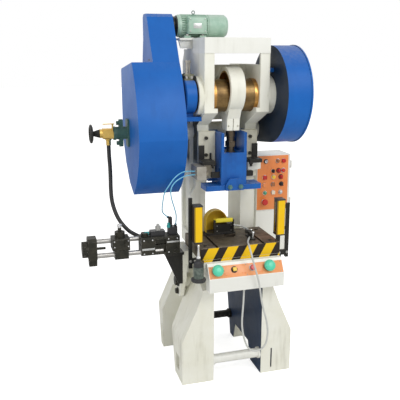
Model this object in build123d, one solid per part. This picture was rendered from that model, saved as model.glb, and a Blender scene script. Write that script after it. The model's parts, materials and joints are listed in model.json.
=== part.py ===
from build123d import *
import math
import os

# Open-back inclinable stamping press, 16-tonne class, in millimetres.
# X runs to the right seen from the operator, Y to the back, Z up.
# The origin lies on the floor at the centre of the four anchor holes.

# Main stations
table_top_z = 787
table_half = 225
table_front_y = -285
table_depth = 300
bolster_thick = 65
flange_thick = 45
ram_y = -100
crank_z = 1560
throat_y = 15
frame_rear_y = 230
frame_outer = 190
cheek_inner = 105
head_inner = 124
head_outer = 176
neck_outer = 168
head_front_y = -200
head_rear_y = 200
head_top_z = 1775
motor_seat_z = head_top_z + 22
head_floor_z = 1500
guide_front_y = -40
guide_low_z = 1111
guide_top_z = 1400
column_foot_z = 690
pit_half = 136
pit_floor_z = 560

# Crank train
stroke = 55
crank_throw = stroke / 2
journal_r = 50
web_r = 85
crank_pin_r = 36
shaft_step = 0.05
main_bush_r = 87
pitman_half = 39
big_end_r = 120
big_end_bush_wall = 7
open_pivot_gap = 57
ball_z = 1235
ball_r = 38
screw_r = 22

# Gear pair and belt drive
gear_module = 6
gear_teeth = 74
pinion_teeth = 16
tooth_play = 0.35
gear_x0 = 245
gear_width = 70
drive_back = 180
drive_shaft_r = 25
drive_bush_r = 38
shaft_end_r = 20
flywheel_r = 178
flywheel_x0 = -402
flywheel_x1 = -288
clutch_r = 130
clutch_x0 = -495
motor_pulley_r = 42
motor_shaft_r = 14
motor_y = 100
motor_rise = 120
motor_r = 60
motor_z = motor_seat_z + motor_rise
motor_plate_z = motor_z - motor_r - 14
motor_plate_thick = 10
motor_foot_thick = 13
belt_xs = (-370, -345, -320)
belt_width = 13
belt_thick = 9
belt_gap = 0.3
groove_depth = 12

# Ram and guides
ram_half = 72
ram_front = 65
ram_back = 100
ram_bottom_z = 1062
ram_flange = 28
flange_front_y = -172
flange_rear_y = -64
ram_flange_half = 156
ram_top_z = 1369
wing_half = cheek_inner - 0.05
pocket_half = 56
pocket_floor_z = 1262
gib_thick = 23
gib_inner = 74
gib_bolt_x = 126
gib_bolt_zs = (1242, 1333)
gib_bolt_r = 6
bolster_bolt_r = 8
bolster_bolt_x = table_half - 40
bolster_bolts = ((-bolster_bolt_x, -240), (-bolster_bolt_x, -40), (bolster_bolt_x, -240),
                 (bolster_bolt_x, -40))
tee_slot_xs = (95 - table_half, table_half - 95)
drop_hole_r = 35
shank_r = 20
shank_depth = 60
knockout_z = 1128
knockout_height = 30
knockout_lift = 20
knockout_front_y = -143
knockout_thick = 20

# Stand
leg_inner = 140
leg_web = 22
leg_wall = 18
foot_outer = 320
foot_front_y = -267
foot_plate = 22
leg_top_z = 600
anchor_x = 235
anchor_y = 236
anchor_r = 11
pivot_z = 510
pivot_pin_r = 20
ear_inner = table_half + 25
ear_outer = ear_inner + 22
clamp_slot_r = 62
clamp_bolt_r = 9
tilt_range = 25

# Guards
guard_wall = 4
guard_left = -520
guard_right = -272
belt_cover_left = -412
arm_top_z = 1456
cover_x0 = 215
cover_x1 = 350
cover_r = 256
cover_tail_r = 76

# Control box and cabinet
box_left = -190
box_right = 230
box_low_z = 557
box_front_y = -345
panel_low_z = 631
panel_top_z = 705
panel_top_y = -300
cabinet_left = 235
cabinet_right = 447
cabinet_front_y = 100
cabinet_rear_y = 260
cabinet_low_z = 580
cabinet_top_z = 1195
door_low_z = 860
door_gap = 2
door_thick = 7

# Strip feeder
feeder_y = -100
feeder_x0 = -506
feeder_x1 = -296
feeder_low_z = 726
feeder_high_z = 825
rod_low_z = 745
rod_high_z = 806
rod_r = 13
carriage_x0 = -657
carriage_x1 = -566
end_block_x0 = -784
end_block_x1 = -738

# Foot switch on the table
pedal_left = -118
pedal_right = 48
pedal_front_y = -75
pedal_rear_y = 12
hood_right = 8
hood_front_y = -38
switch_top_z = 842
treadle_left = -70
treadle_right = 27
treadle_z = 862
treadle_thick = 8
heel_y = -68

# Values that follow from the ones above
gear_centre = gear_module * (gear_teeth + pinion_teeth) / 2
drive_y = ram_y + drive_back
drive_z = crank_z - math.sqrt(gear_centre ** 2 - drive_back ** 2)
bolster_low_z = table_top_z - bolster_thick
big_end_z = crank_z + crank_throw
big_end_bore = crank_pin_r + open_pivot_gap
table_rear_y = table_front_y + table_depth


def block(x0, x1, y0, y1, z0, z1):
    return Pos((x0 + x1) / 2, (y0 + y1) / 2, (z0 + z1) / 2) * Box(x1 - x0, y1 - y0, z1 - z0)


def rod_x(x0, x1, y, z, r):
    return Pos((x0 + x1) / 2, y, z) * Rot(0, 90, 0) * Cylinder(r, x1 - x0)


def rod_y(x, y0, y1, z, r):
    return Pos(x, (y0 + y1) / 2, z) * Rot(90, 0, 0) * Cylinder(r, y1 - y0)


def rod_z(x, y, z0, z1, r):
    return Pos(x, y, (z0 + z1) / 2) * Cylinder(r, z1 - z0)


def along_x(face, x0, x1):
    # A face drawn in (y, z) becomes a plate between two X stations.
    return extrude(Plane.YZ.offset(x0) * face, amount=x1 - x0, dir=(1, 0, 0))


def along_y(face, y0, y1):
    # A face drawn in (x, z) becomes a plate between two Y stations.
    plane = Plane(origin=(0, y1, 0), x_dir=(1, 0, 0), z_dir=(0, -1, 0))
    return extrude(plane * face, amount=y1 - y0, dir=(0, -1, 0))


def polygon(*points):
    return Polygon(*points, align=None)


def outline(*curves):
    return make_face([edge for curve in curves for edge in curve.edges()])


def hull_face(centre_a, radius_a, centre_b, radius_b):
    # The outline of a belt round two pulleys, and of a cover round two gears.
    dy = centre_b[0] - centre_a[0]
    dz = centre_b[1] - centre_a[1]
    heading = math.atan2(dz, dy)
    spread = math.acos((radius_a - radius_b) / math.hypot(dy, dz))
    corners = []
    for centre, radius, turns in ((centre_a, radius_a, (1, -1)), (centre_b, radius_b, (-1, 1))):
        for turn in turns:
            angle = heading + turn * spread
            corners.append((centre[0] + radius * math.cos(angle), centre[1] + radius * math.sin(angle)))
    return (polygon(*corners) + Pos(*centre_a) * Circle(radius_a)
            + Pos(*centre_b) * Circle(radius_b))


def ring_x(x0, x1, y, z, outer, inner):
    return rod_x(x0, x1, y, z, outer) - rod_x(x0 - 1, x1 + 1, y, z, inner)


def hexagon_x(x0, x1, y, z, radius):
    return along_x(Pos(y, z) * RegularPolygon(radius, 6), x0, x1)


def mirrored(solid):
    return mirror(solid, Plane.YZ)


def turned_x(profile, y, z):
    # A profile of (x, radius) points spun about an axis along X at (y, z).
    face = make_face(Plane.XZ * Polyline(*profile, close=True))
    return Pos(0, y, z) * revolve(face, Axis.X)


def turned_z(profile, x, y):
    # A profile of (radius, z) points spun about a vertical axis at (x, y).
    face = make_face(Plane.XZ * Polyline(*profile, close=True))
    return Pos(x, y, 0) * revolve(face, Axis.Z)


def leg_casting():
    # Right leg: an inner web, and a front and a rear box that flare outwards like an inverted V.
    shoulder = ((243, 425), (205, 519), (205, leg_top_z))
    front_view = polygon((leg_inner, 0), (foot_outer, 0), (foot_outer, 250), *shoulder,
                         (leg_inner, leg_top_z))
    side_view = polygon((foot_front_y, 0), (-105, 0), (-60, 105), (160, 105), (195, 0), (258, 0),
                        (320, 255), (320, 440), (250, 520), (90, leg_top_z), (-150, leg_top_z),
                        (foot_front_y, 545))
    recess = polygon((-105, -1), (-37, 230), (-17, 400), (20, 440), (150, 440), (205, 400),
                     (205, 60), (195, -1))
    body = along_y(front_view, foot_front_y, 320) & along_x(side_view, leg_inner, foot_outer)
    web = along_x(side_view, leg_inner, leg_inner + leg_web)
    body -= along_x(recess, leg_inner + leg_web, foot_outer + 1)
    body += web
    room = polygon((leg_inner + leg_web, foot_plate), (foot_outer - leg_wall, foot_plate),
                   (foot_outer - leg_wall, 247), (226, 417), (226, 436),
                   (leg_inner + leg_web, 436))
    body -= along_y(room, foot_front_y + leg_wall, -30)
    body -= along_y(room, 205 + leg_wall, 330)
    for y0, y1 in ((-200, -130), (226, 250)):
        body -= block(foot_outer - leg_wall - 1, foot_outer + 1, y0, y1, 50, 135)
    for y in (-anchor_y, anchor_y):
        body -= rod_z(anchor_x, y, -1, foot_plate + 1, anchor_r)
    boss = rod_x(200, ear_inner - 0.3, 0, pivot_z, 40)
    boss += rod_x(200, ear_inner - 0.3, 0, pivot_z - clamp_slot_r, 20)
    body += boss
    body -= rod_x(leg_inner - 1, ear_inner, 0, pivot_z, pivot_pin_r)
    body -= rod_x(leg_inner - 1, ear_inner, 0, pivot_z - clamp_slot_r, clamp_bolt_r)
    return body


def right_leg():
    body = leg_casting()
    return body - block(199, 207, foot_front_y - 1, foot_front_y + leg_wall + 1, 28, 148)


def left_leg():
    return mirrored(leg_casting())


def front_tie_bar():
    bar = rod_x(-leg_inner, leg_inner, -234, 115, 26)
    for side in (-1, 1):
        bar += Pos(side * (leg_inner - 6), -234, 115) * Rot(0, 90, 0) * Cylinder(32, 12)
    return bar


def rear_tie_rod():
    rod = rod_x(-leg_inner, leg_inner, 262, 140, 23)
    for side in (-1, 1):
        rod += Pos(side * (leg_inner - 8), 262, 140) * Rot(0, 90, 0) * Cylinder(30, 16)
    return rod


def tilt_bolts():
    # Per side: the pivot pin with its head, and the clamp bolt that slides in the ear's arc slot.
    head_x = ear_outer + 0.3
    pin = rod_x(leg_inner + 10, head_x, 0, pivot_z, pivot_pin_r) - rod_x(
        ear_inner - 0.3, head_x + 1, 0, pivot_z, pivot_pin_r + 1)
    pin += rod_x(ear_inner - 0.3, head_x, 0, pivot_z, pivot_pin_r - shaft_step)
    pin += rod_x(head_x, head_x + 5, 0, pivot_z, 34)
    pin += hexagon_x(head_x + 5, head_x + 20, 0, pivot_z, 27)
    low_z = pivot_z - clamp_slot_r
    bolt = rod_x(leg_inner + 10, ear_inner - 0.3, 0, low_z, clamp_bolt_r)
    bolt += rod_x(ear_inner - 0.3, head_x, 0, low_z, clamp_bolt_r - 0.3)
    bolt += rod_x(head_x, head_x + 4, 0, low_z, 19)
    bolt += hexagon_x(head_x + 4, head_x + 16, 0, low_z, 16)
    return Compound(children=[pin, bolt, mirrored(pin), mirrored(bolt)])


def ear_plate():
    body = polygon((-110, bolster_low_z), (60, bolster_low_z), (60, 476), (-60, 476), (-110, 560))
    body += Pos(0, 476) * Circle(60)
    body -= Pos(0, pivot_z) * Circle(pivot_pin_r)
    slot = SlotArc(CenterArc((0, pivot_z), clamp_slot_r, -94, tilt_range + 8), 2 * clamp_bolt_r + 1)
    return along_x(body - slot, ear_inner, ear_outer)


def cheek():
    # Right cheek of the C-frame: head, neck with the ram guide, and rear column.
    side_view = polygon((throat_y, bolster_low_z), (throat_y, 1010), (-8, 1085),
                        (guide_front_y, guide_low_z), (guide_front_y, guide_top_z),
                        (head_front_y, 1478), (head_front_y, head_top_z),
                        (head_rear_y, head_top_z), (frame_rear_y, head_top_z - 45),
                        (frame_rear_y, column_foot_z), (throat_y - 60, column_foot_z),
                        (throat_y - 60, bolster_low_z))
    body = along_x(side_view, cheek_inner, frame_outer)
    slim = polygon((neck_outer, guide_low_z - 60), (neck_outer, 1375), (head_outer, 1455),
                   (head_outer, head_top_z + 1), (frame_outer + 1, head_top_z + 1),
                   (frame_outer + 1, guide_low_z - 110))
    body -= along_y(slim, head_front_y - 1, 40)
    body -= along_y(polygon((head_outer, 1430), (head_outer, head_top_z + 1),
                            (frame_outer + 1, head_top_z + 1), (frame_outer + 1, 1400)),
                    39, frame_rear_y + 1)
    body -= block(cheek_inner - 1, head_inner, head_front_y - 1, throat_y, head_floor_z, head_top_z + 1)
    window = fillet(polygon((60, 770), (195, 770), (195, 1180), (60, 1060)).vertices(), 22)
    body -= along_x(window, frame_outer - 16, frame_outer + 1)
    return body


def c_frame():
    body = cheek()
    body += rod_x(head_outer - 10, 200, ram_y, crank_z, main_bush_r + 14)
    body += ear_plate()
    body += block(table_half - 5, ear_inner + 1, -110, 60, 640, bolster_low_z)
    body += block(pit_half - 30, pit_half, -230, frame_rear_y, pit_floor_z, bolster_low_z - 5)
    body += mirrored(body)
    body += block(-table_half, table_half, table_front_y, table_rear_y,
                  bolster_low_z - flange_thick, bolster_low_z)
    body += block(-200, 200, table_front_y, table_front_y + 23, 600, bolster_low_z - 1)
    body += block(-pit_half, pit_half, -230, frame_rear_y, pit_floor_z, pit_floor_z + 25)
    body += block(-110, 110, frame_rear_y - 25, frame_rear_y, pit_floor_z, 800)
    body += block(-110, 110, throat_y, throat_y + 22, pit_floor_z + 20, 760)
    body += rod_x(frame_outer - 30, cover_x0, drive_y, drive_z, 55)
    body += rod_x(guard_right, 30 - frame_outer, drive_y, drive_z, 55)
    body += rod_x(190, cover_x0, ram_y, crank_z, main_bush_r + 14)
    body += rod_x(-cheek_inner - 1, cheek_inner + 1, drive_y, drive_z, 46)
    body += block(-head_inner - 1, head_inner + 1, 52, 76, 1420, 1715)
    guide_face_y = ram_y + ram_back + 0.05
    body += block(-cheek_inner - 1, cheek_inner + 1, guide_face_y, guide_face_y + 30, guide_low_z, 1262)
    body -= block(cheek_inner - 1, frame_outer + 1, head_front_y + 15, frame_rear_y + 1, 1718,
                  head_top_z + 1)
    body += block(-head_outer, 60, 20, head_rear_y, head_top_z, motor_seat_z)
    body += block(-120, 120, frame_rear_y - 22, frame_rear_y, 1400, 1560)
    body -= rod_x(-250, 250, ram_y, crank_z, main_bush_r)
    body -= rod_x(-280, 250, drive_y, drive_z, drive_bush_r)
    body -= rod_z(0, ram_y, pit_floor_z - 1, bolster_low_z + 1, 62)
    for x, y in bolster_bolts:
        body -= rod_z(x, y, bolster_low_z - flange_thick - 1, bolster_low_z + 1, bolster_bolt_r)
    for side in (-1, 1):
        for z in gib_bolt_zs:
            body -= rod_y(side * gib_bolt_x, guide_front_y - 1, guide_front_y + 40, z, gib_bolt_r)
    return body


def bolster_plate():
    body = block(-table_half, table_half, table_front_y, table_rear_y, bolster_low_z, table_top_z)
    body = chamfer(body.edges().group_by(Axis.Z)[-1], 2)
    body -= rod_z(0, ram_y, bolster_low_z - 1, table_top_z + 1, drop_hole_r)
    for x in tee_slot_xs:
        body -= block(x - 7, x + 7, table_front_y - 1, table_rear_y + 1, table_top_z - 28, table_top_z + 1)
        body -= block(x - 12, x + 12, table_front_y - 1, table_rear_y + 1, table_top_z - 28, table_top_z - 16)
    for x, y in bolster_bolts:
        body -= rod_z(x, y, bolster_low_z - 1, table_top_z + 1, bolster_bolt_r)
        body -= rod_z(x, y, table_top_z - 17, table_top_z + 1, 13)
    return body


def socket_screw(length, r):
    screw = Pos(0, 0, -length / 2) * Cylinder(r, length)
    screw += Pos(0, 0, 0.9 * r) * Cylinder(1.55 * r, 1.8 * r)
    screw -= Pos(0, 0, r) * extrude(RegularPolygon(0.85 * r, 6), amount=r)
    return screw


def cap_screws():
    # Four hold the bolster down and four hold the gib plates.
    screws = [Pos(x, y, table_top_z - 17) * socket_screw(80, bolster_bolt_r) for x, y in bolster_bolts]
    front = guide_front_y - gib_thick
    for x in (-gib_bolt_x, gib_bolt_x):
        for z in gib_bolt_zs:
            screws.append(Pos(x, front, z) * Rot(90, 0, 0) * socket_screw(60, gib_bolt_r))
    return Compound(children=screws)


def crown_beam():
    # Box beam across the top of the head, closed by end plates.
    body = block(-head_outer, head_outer, head_front_y - 4, 20, head_top_z, 1852)
    body -= block(-head_outer + 8, head_outer - 8, head_front_y + 4, 12, head_top_z - 1, 1844)
    for x in (-60, 60):
        body += block(x - 4, x + 4, head_front_y, 16, head_top_z + 30, 1848)
    return fillet(body.edges().filter_by(Axis.X).group_by(Axis.Z)[-1][:1], 3)


def shaft_bushes():
    # Bronze: two thick main bushes, through which the crankshaft goes in, and two drive bushes.
    main = ring_x(web_gap_x(), 200, ram_y, crank_z, main_bush_r, journal_r + shaft_step)
    right = ring_x(150, cover_x0, drive_y, drive_z, drive_bush_r, drive_shaft_r + shaft_step)
    left = ring_x(guard_right, -205, drive_y, drive_z, drive_bush_r, drive_shaft_r + shaft_step)
    return Compound(children=[main, mirrored(main), right, left])


def web_gap_x():
    return cheek_inner - 1


def gib_plates():
    body = block(gib_inner, neck_outer, guide_front_y - gib_thick, guide_front_y, guide_low_z, ram_top_z)
    for z in gib_bolt_zs:
        body -= rod_y(gib_bolt_x, guide_front_y - gib_thick - 1, guide_front_y + 1, z, gib_bolt_r)
    return Compound(children=[body, mirrored(body)])


def stop_brackets():
    # Black angle brackets on the gibs, each with a shelf whose set screw stops the knock-out bar.
    front = guide_front_y - gib_thick
    screw_y = knockout_front_y + knockout_thick / 2
    body = block(138, neck_outer, front - 12, front, 1200, 1294)
    body += block(98, neck_outer, screw_y - 14, front, 1200, 1220)
    body += block(98, 106, front - 12, front, 1219, 1252)
    body += rod_z(109, screw_y, knockout_z + knockout_height + knockout_lift + 2, 1201, 7)
    body += rod_z(109, screw_y, 1192, 1201, 11)
    return Compound(children=[body, mirrored(body)])


def side_blocks():
    # Left: grey air manifold with two ports. Right: white oil block with a stepped foot.
    front = guide_front_y - gib_thick
    left = block(-210, 10 - neck_outer, front - 116, front, 1128, 1199)
    left = fillet(left.edges().filter_by(Axis.Y), 4)
    left += block(9 - neck_outer, -103, front - 34, front, 1130, 1197)
    left -= rod_y(-133, front - 35, front - 26, 1157, 5)
    for route in (long_tube_route, short_tube_route):
        left += gland(route[0], route[1], 16, 6)
    profile = polygon((104, 1128), (128, 1128), (136, 1150), (180, 1156), (180, 1199), (104, 1199))
    right = along_y(profile, front - 34, front)
    right -= rod_y(116, front - 35, front - 26, 1176, 7)
    return Compound(children=[left, right])


def lower_guard_face():
    front = ThreePointArc((-75, 1731), (-185, 1540), (-232, 1350))
    belly = ThreePointArc((-232, 1350), (-190, 1215), (-35, 1040))
    back = Polyline((-35, 1040), (82, 1085), (190, 1180), (272, 1310), (272, 1683), (262, 1693),
                    (-75, 1731))
    return outline(front, belly, back)


def upper_guard_face():
    return polygon((-75, 1731), (60, motor_z + 43), (84, motor_z + 59), (148, motor_z + 59),
                   (165, motor_z + 41), (165, motor_z - 67),
                   (205, 1700), (-50, 1700))


def belt_guard():
    lower = lower_guard_face()
    upper = upper_guard_face()
    body = along_x(lower, guard_left, guard_right) + along_x(upper, belt_cover_left, guard_right)
    inner = along_x(offset(lower, -guard_wall), guard_left + guard_wall, guard_right - guard_wall)
    inner += along_x(offset(upper, -guard_wall), belt_cover_left + guard_wall, guard_right - guard_wall)
    inner += block(belt_cover_left + guard_wall, guard_right - guard_wall, -40, 188, 1670, 1735)
    body -= inner
    body -= rod_x(guard_right - 10, guard_right + 1, drive_y, drive_z, 40)
    body -= rod_x(guard_right - 10, guard_right + 1, motor_y, motor_z, 30)
    body -= rod_x(guard_left - 1, guard_left + 10, drive_y, drive_z, 26)
    body += block(guard_right, -head_outer, -150, -50, 1434, arm_top_z)
    body += block(guard_right, -frame_outer, 140, 200, 1190, 1212)
    return body


def gear_cover():
    outer = hull_face((ram_y, crank_z), cover_r, (drive_y, drive_z), cover_tail_r)
    inner = hull_face((ram_y, crank_z), cover_r - guard_wall, (drive_y, drive_z), cover_tail_r - guard_wall)
    body = along_x(outer, cover_x0, cover_x1)
    body -= along_x(inner, cover_x0 + guard_wall, cover_x1 - guard_wall)
    body -= rod_x(cover_x0 - 1, cover_x0 + 10, ram_y, crank_z, 62)
    body -= rod_x(cover_x0 - 1, cover_x0 + 10, drive_y, drive_z, 46)
    rim = hull_face((ram_y, crank_z), cover_r + 3, (drive_y, drive_z), cover_tail_r + 3)
    body += along_x(rim, cover_x1 - 8, cover_x1) - along_x(inner, cover_x1 - 9, cover_x1 - guard_wall)
    for y, z in ((-150, 1690), (40, 1690), (70, 1560)):
        body += rod_x(head_outer, cover_x0 + guard_wall, y, z, 12)
    return body


def tooth_face(teeth, bore, mesh_angle):
    # Involute teeth of 20 degrees, relieved by half the play on each flank.
    pitch_r = gear_module * teeth / 2
    base_r = pitch_r * math.cos(math.radians(20))
    tip_r = pitch_r + 0.9 * gear_module
    root_r = pitch_r - 1.25 * gear_module
    start_r = max(base_r, root_r + 0.5)

    def involute(radius):
        alpha = math.acos(min(1, base_r / radius))
        return math.tan(alpha) - alpha

    half = (math.pi * gear_module / 2 - tooth_play) / (2 * pitch_r) + involute(pitch_r)
    points = []
    for tooth in range(teeth):
        centre = mesh_angle + 2 * math.pi * tooth / teeth
        flank = [start_r + (tip_r - start_r) * share for share in (0, 0.35, 0.7, 1)]
        points.append((root_r, centre - half))
        points += [(radius, centre - half + involute(radius)) for radius in flank]
        points += [(radius, centre + half - involute(radius)) for radius in reversed(flank)]
        points.append((root_r, centre + half))
    face = polygon(*[(r * math.cos(a), r * math.sin(a)) for r, a in points])
    return face - Circle(bore)


def mesh_heading():
    return math.atan2(drive_z - crank_z, drive_y - ram_y)


def crank_gear():
    # Cast gear with a hub, a thin web and six lightening holes.
    x1 = gear_x0 + gear_width
    bore = journal_r - 4 + shaft_step
    teeth = Pos(ram_y, crank_z) * tooth_face(gear_teeth, bore, mesh_heading())
    body = along_x(teeth, gear_x0, x1)
    rim_r = gear_module * gear_teeth / 2 - 24
    for a, b in ((gear_x0 - 1, gear_x0 + 22), (x1 - 22, x1 + 1)):
        body -= ring_x(a, b, ram_y, crank_z, rim_r, 78)
    for number in range(6):
        angle = math.radians(60 * number + 30)
        y = ram_y + 138 * math.cos(angle)
        z = crank_z + 138 * math.sin(angle)
        body -= rod_x(gear_x0, x1, y, z, 30)
    return body


def pinion_shaft():
    # The pinion is cut on the shaft's right end.
    gap = math.pi / pinion_teeth
    teeth = Pos(drive_y, drive_z) * tooth_face(pinion_teeth, 5, mesh_heading() + math.pi + gap)
    body = along_x(teeth, gear_x0 - 4, gear_x0 + gear_width + 4)
    body += rod_x(-500, gear_x0 + gear_width + 12, drive_y, drive_z, drive_shaft_r)
    body += rod_x(-565, -500, drive_y, drive_z, shaft_end_r)
    return body


def flywheel():
    # Rim with three belt grooves, a web with five pockets, a hub and the clutch drum on its left.
    profile = [(clutch_x0, drive_shaft_r), (clutch_x0, 60), (clutch_x0 + 7, clutch_r - 4),
               (clutch_x0 + 11, clutch_r), (flywheel_x0 - 6, clutch_r), (flywheel_x0, 144),
               (flywheel_x0, flywheel_r)]
    half_top = belt_width / 2 + 2
    half_low = belt_width / 2 + 0.8
    for x in belt_xs:
        profile += [(x - half_top, flywheel_r), (x - half_low, flywheel_r - groove_depth),
                    (x + half_low, flywheel_r - groove_depth), (x + half_top, flywheel_r)]
    profile += [(flywheel_x1, flywheel_r), (flywheel_x1, 150), (-334, 146), (-334, 62), (-300, 58),
                (-300, drive_shaft_r)]
    body = turned_x(profile, drive_y, drive_z)
    for number in range(5):
        angle = 2 * math.pi * number / 5
        body -= rod_x(-380, -330, drive_y + 104 * math.cos(angle), drive_z + 104 * math.sin(angle), 24)
    return body


def motor_pulley():
    profile = [(-232, 0), (-232, motor_shaft_r), (-305, motor_shaft_r), (-305, motor_pulley_r)]
    half_top = belt_width / 2 + 2
    half_low = belt_width / 2 + 0.8
    for x in reversed(belt_xs):
        profile += [(x + half_top, motor_pulley_r), (x + half_low, motor_pulley_r - groove_depth),
                    (x - half_low, motor_pulley_r - groove_depth), (x - half_top, motor_pulley_r)]
    profile += [(-385, motor_pulley_r), (-385, 0)]
    return turned_x(profile, motor_y, motor_z)


def v_belts():
    # The belts lie in the grooves with a running gap, so that the pulleys turn freely.
    low = flywheel_r - groove_depth + belt_gap
    small = motor_pulley_r - groove_depth + belt_gap
    outer = hull_face((drive_y, drive_z), low + belt_thick, (motor_y, motor_z), small + belt_thick)
    inner = hull_face((drive_y, drive_z), low, (motor_y, motor_z), small)
    loop = outer - inner
    belts = [along_x(loop, x - belt_width / 2, x + belt_width / 2) for x in belt_xs]
    return Compound(children=belts)


def motor_housing():
    # Finned stator with end bells, feet and a terminal box on its front side.
    body = rod_x(-232, -80, motor_y, motor_z, motor_r - 7)
    fin = Pos(0, motor_r - 6) * Rectangle(3, 12)
    fins = Sketch() + [Rot(0, 0, angle) * fin for angle in range(0, 360, 12) if not 195 < angle < 345]
    body += along_x(Pos(motor_y, motor_z) * fins, -226, -84)
    body += turned_x([(-262, 0), (-262, 38), (-250, 52), (-236, motor_r - 2), (-226, motor_r - 2),
                      (-226, 0)], motor_y, motor_z)
    body += turned_x([(-84, 0), (-84, motor_r - 2), (-75, motor_r - 2), (-75, 0)], motor_y, motor_z)
    body += block(-200, -98, motor_y - motor_r - 22, motor_y - 40, motor_z - 42, motor_z + 44)
    for x0, x1 in ((-215, -180), (-130, -95)):
        foot_z = motor_plate_z + motor_plate_thick
        body += block(x0, x1, motor_y - 62, motor_y + 62, foot_z, foot_z + motor_foot_thick)
        body += block(x0 + 8, x1 - 8, motor_y - 40, motor_y + 40, foot_z + 7, motor_z - 37)
    body -= rod_x(-263, -228, motor_y, motor_z, motor_shaft_r + shaft_step)
    return body


def fan_cover():
    body = turned_x([(-75, 0), (-75, motor_r), (18, motor_r), (32, motor_r - 10), (36, motor_r - 22),
                     (36, 0)], motor_y, motor_z)
    body -= turned_x([(-74, 0), (-74, motor_r - 3), (17, motor_r - 3), (29, motor_r - 12),
                      (33, motor_r - 23), (33, 0)], motor_y, motor_z)
    for number in range(8):
        angle = 2 * math.pi * number / 8
        body -= rod_x(30, 40, motor_y + 22 * math.cos(angle), motor_z + 22 * math.sin(angle), 7)
    body += ring_x(-75, -66, motor_y, motor_z, motor_r - 1, 40)
    return body


def motor_base():
    # Mounting plate on a box pedestal, with slots along Y for tightening the belts.
    top_z = motor_plate_z
    body = block(-246, 20, motor_y - 78, motor_y + 78, top_z, top_z + motor_plate_thick)
    body += block(-168, -156, motor_y - 62, motor_y + 62, motor_seat_z, top_z)
    body += block(-20, -8, motor_y - 62, motor_y + 62, motor_seat_z, top_z)
    body += block(-168, -8, motor_y - 62, motor_y - 52, motor_seat_z, top_z)
    body += along_x(polygon((motor_y - 62, top_z), (motor_y - 62, motor_seat_z + 3), (motor_y - 20, top_z)),
                    -240, -168)
    body += along_y(polygon((-246, top_z), (-240, top_z - 23), (-168, motor_seat_z + 8), (-168, top_z)),
                    motor_y - 62, motor_y - 50)
    return body


def crankshaft():
    body = rod_x(-262, -200, ram_y, crank_z, 40)
    body += rod_x(-200, -web_gap_x(), ram_y, crank_z, journal_r)
    body += rod_x(web_gap_x(), 203, ram_y, crank_z, journal_r)
    body += rod_x(203, gear_x0 + gear_width + 14, ram_y, crank_z, journal_r - 4)
    body += rod_x(gear_x0 + gear_width + 0.5, gear_x0 + gear_width + 14, ram_y, crank_z, 58)
    body += rod_x(203, gear_x0 - 0.5, ram_y, crank_z, 58)
    for side in (-1, 1):
        x = side * (pitman_half + 1.5 + web_gap_x() - 0.3) / 2
        web = Rot(0, 90, 0) * Cylinder(web_r, web_gap_x() - 0.3 - pitman_half - 1.5)
        body += Pos(x, ram_y, crank_z) * web
    body += rod_x(-web_gap_x() - 1, -web_gap_x() + 1, ram_y, crank_z, journal_r)
    body += rod_x(web_gap_x() - 1, web_gap_x() + 1, ram_y, crank_z, journal_r)
    body += rod_x(-pitman_half - 2, pitman_half + 2, ram_y, big_end_z, crank_pin_r)
    return body


def brake_drum():
    profile = [(-262, 40), (-262, 82), (-206, 82), (-206, 74), (-228, 72), (-228, 52), (-206, 52),
               (-206, 40)]
    return turned_x(profile, ram_y, crank_z)


def brake_band():
    # Steel band round the drum, open at the top between two lugs and seated on the guard's arm.
    band = ring_x(-260, -210, ram_y, crank_z, 88, 82.3)
    band -= block(-261, -209, ram_y - 12, ram_y + 12, crank_z + 60, crank_z + 95)
    band += block(-260, -210, ram_y - 26, ram_y - 12, crank_z + 82, crank_z + 112)
    band += block(-260, -210, ram_y + 12, ram_y + 26, crank_z + 82, crank_z + 112)
    band -= rod_x(-261, -209, ram_y, crank_z, 82.3)
    band += block(-258, -212, ram_y - 20, ram_y + 20, arm_top_z, crank_z - 87)
    band += rod_y(-235, ram_y - 40, ram_y + 78, crank_z + 98, 5)
    band += rod_y(-235, ram_y + 74, ram_y + 80, crank_z + 98, 15)
    return band


def brake_spring():
    # Compression spring on the band's draw bolt.
    helix = Helix(pitch=9, height=42, radius=11)
    coil = sweep(Plane(origin=helix @ 0, z_dir=helix % 0) * Circle(2.2), path=helix, is_frenet=True)
    return Pos(-235, ram_y + 28.5, crank_z + 98) * Rot(-90, 0, 0) * coil


def pitman():
    # Connecting rod: a wide big end, a waisted shank and a split clamp for the ball screw.
    waist = polygon((-84, 1512), (-46, 1440), (-40, 1378), (40, 1378), (46, 1440), (84, 1512))
    body = rod_x(-pitman_half, pitman_half, ram_y, big_end_z, big_end_r)
    body += along_x(Pos(ram_y, 0) * waist, -pitman_half + 4, pitman_half - 4)
    body -= rod_x(-pitman_half - 1, pitman_half + 1, ram_y, big_end_z, big_end_bore + big_end_bush_wall)
    body -= rod_z(0, ram_y, 1377, 1450, screw_r)
    body -= block(-2, 2, ram_y - 60, ram_y, 1377, 1440)
    for x in (-26, 26):
        body -= rod_y(x, ram_y - 60, ram_y - 30, 1402, 4.5)
    return body


def pitman_bush():
    return ring_x(-pitman_half, pitman_half, ram_y, big_end_z, big_end_bore + big_end_bush_wall,
                  big_end_bore)


def ball_screw():
    # Height-adjusting screw with a ball foot and a hexagonal grip ring.
    body = Pos(0, ram_y, ball_z) * Sphere(ball_r)
    body += rod_z(0, ram_y, ball_z, 1446, screw_r)
    body += Pos(0, ram_y, 1290) * extrude(RegularPolygon(30, 6), amount=28)
    body += rod_z(0, ram_y, 1344, 1374, 26)
    return body


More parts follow.
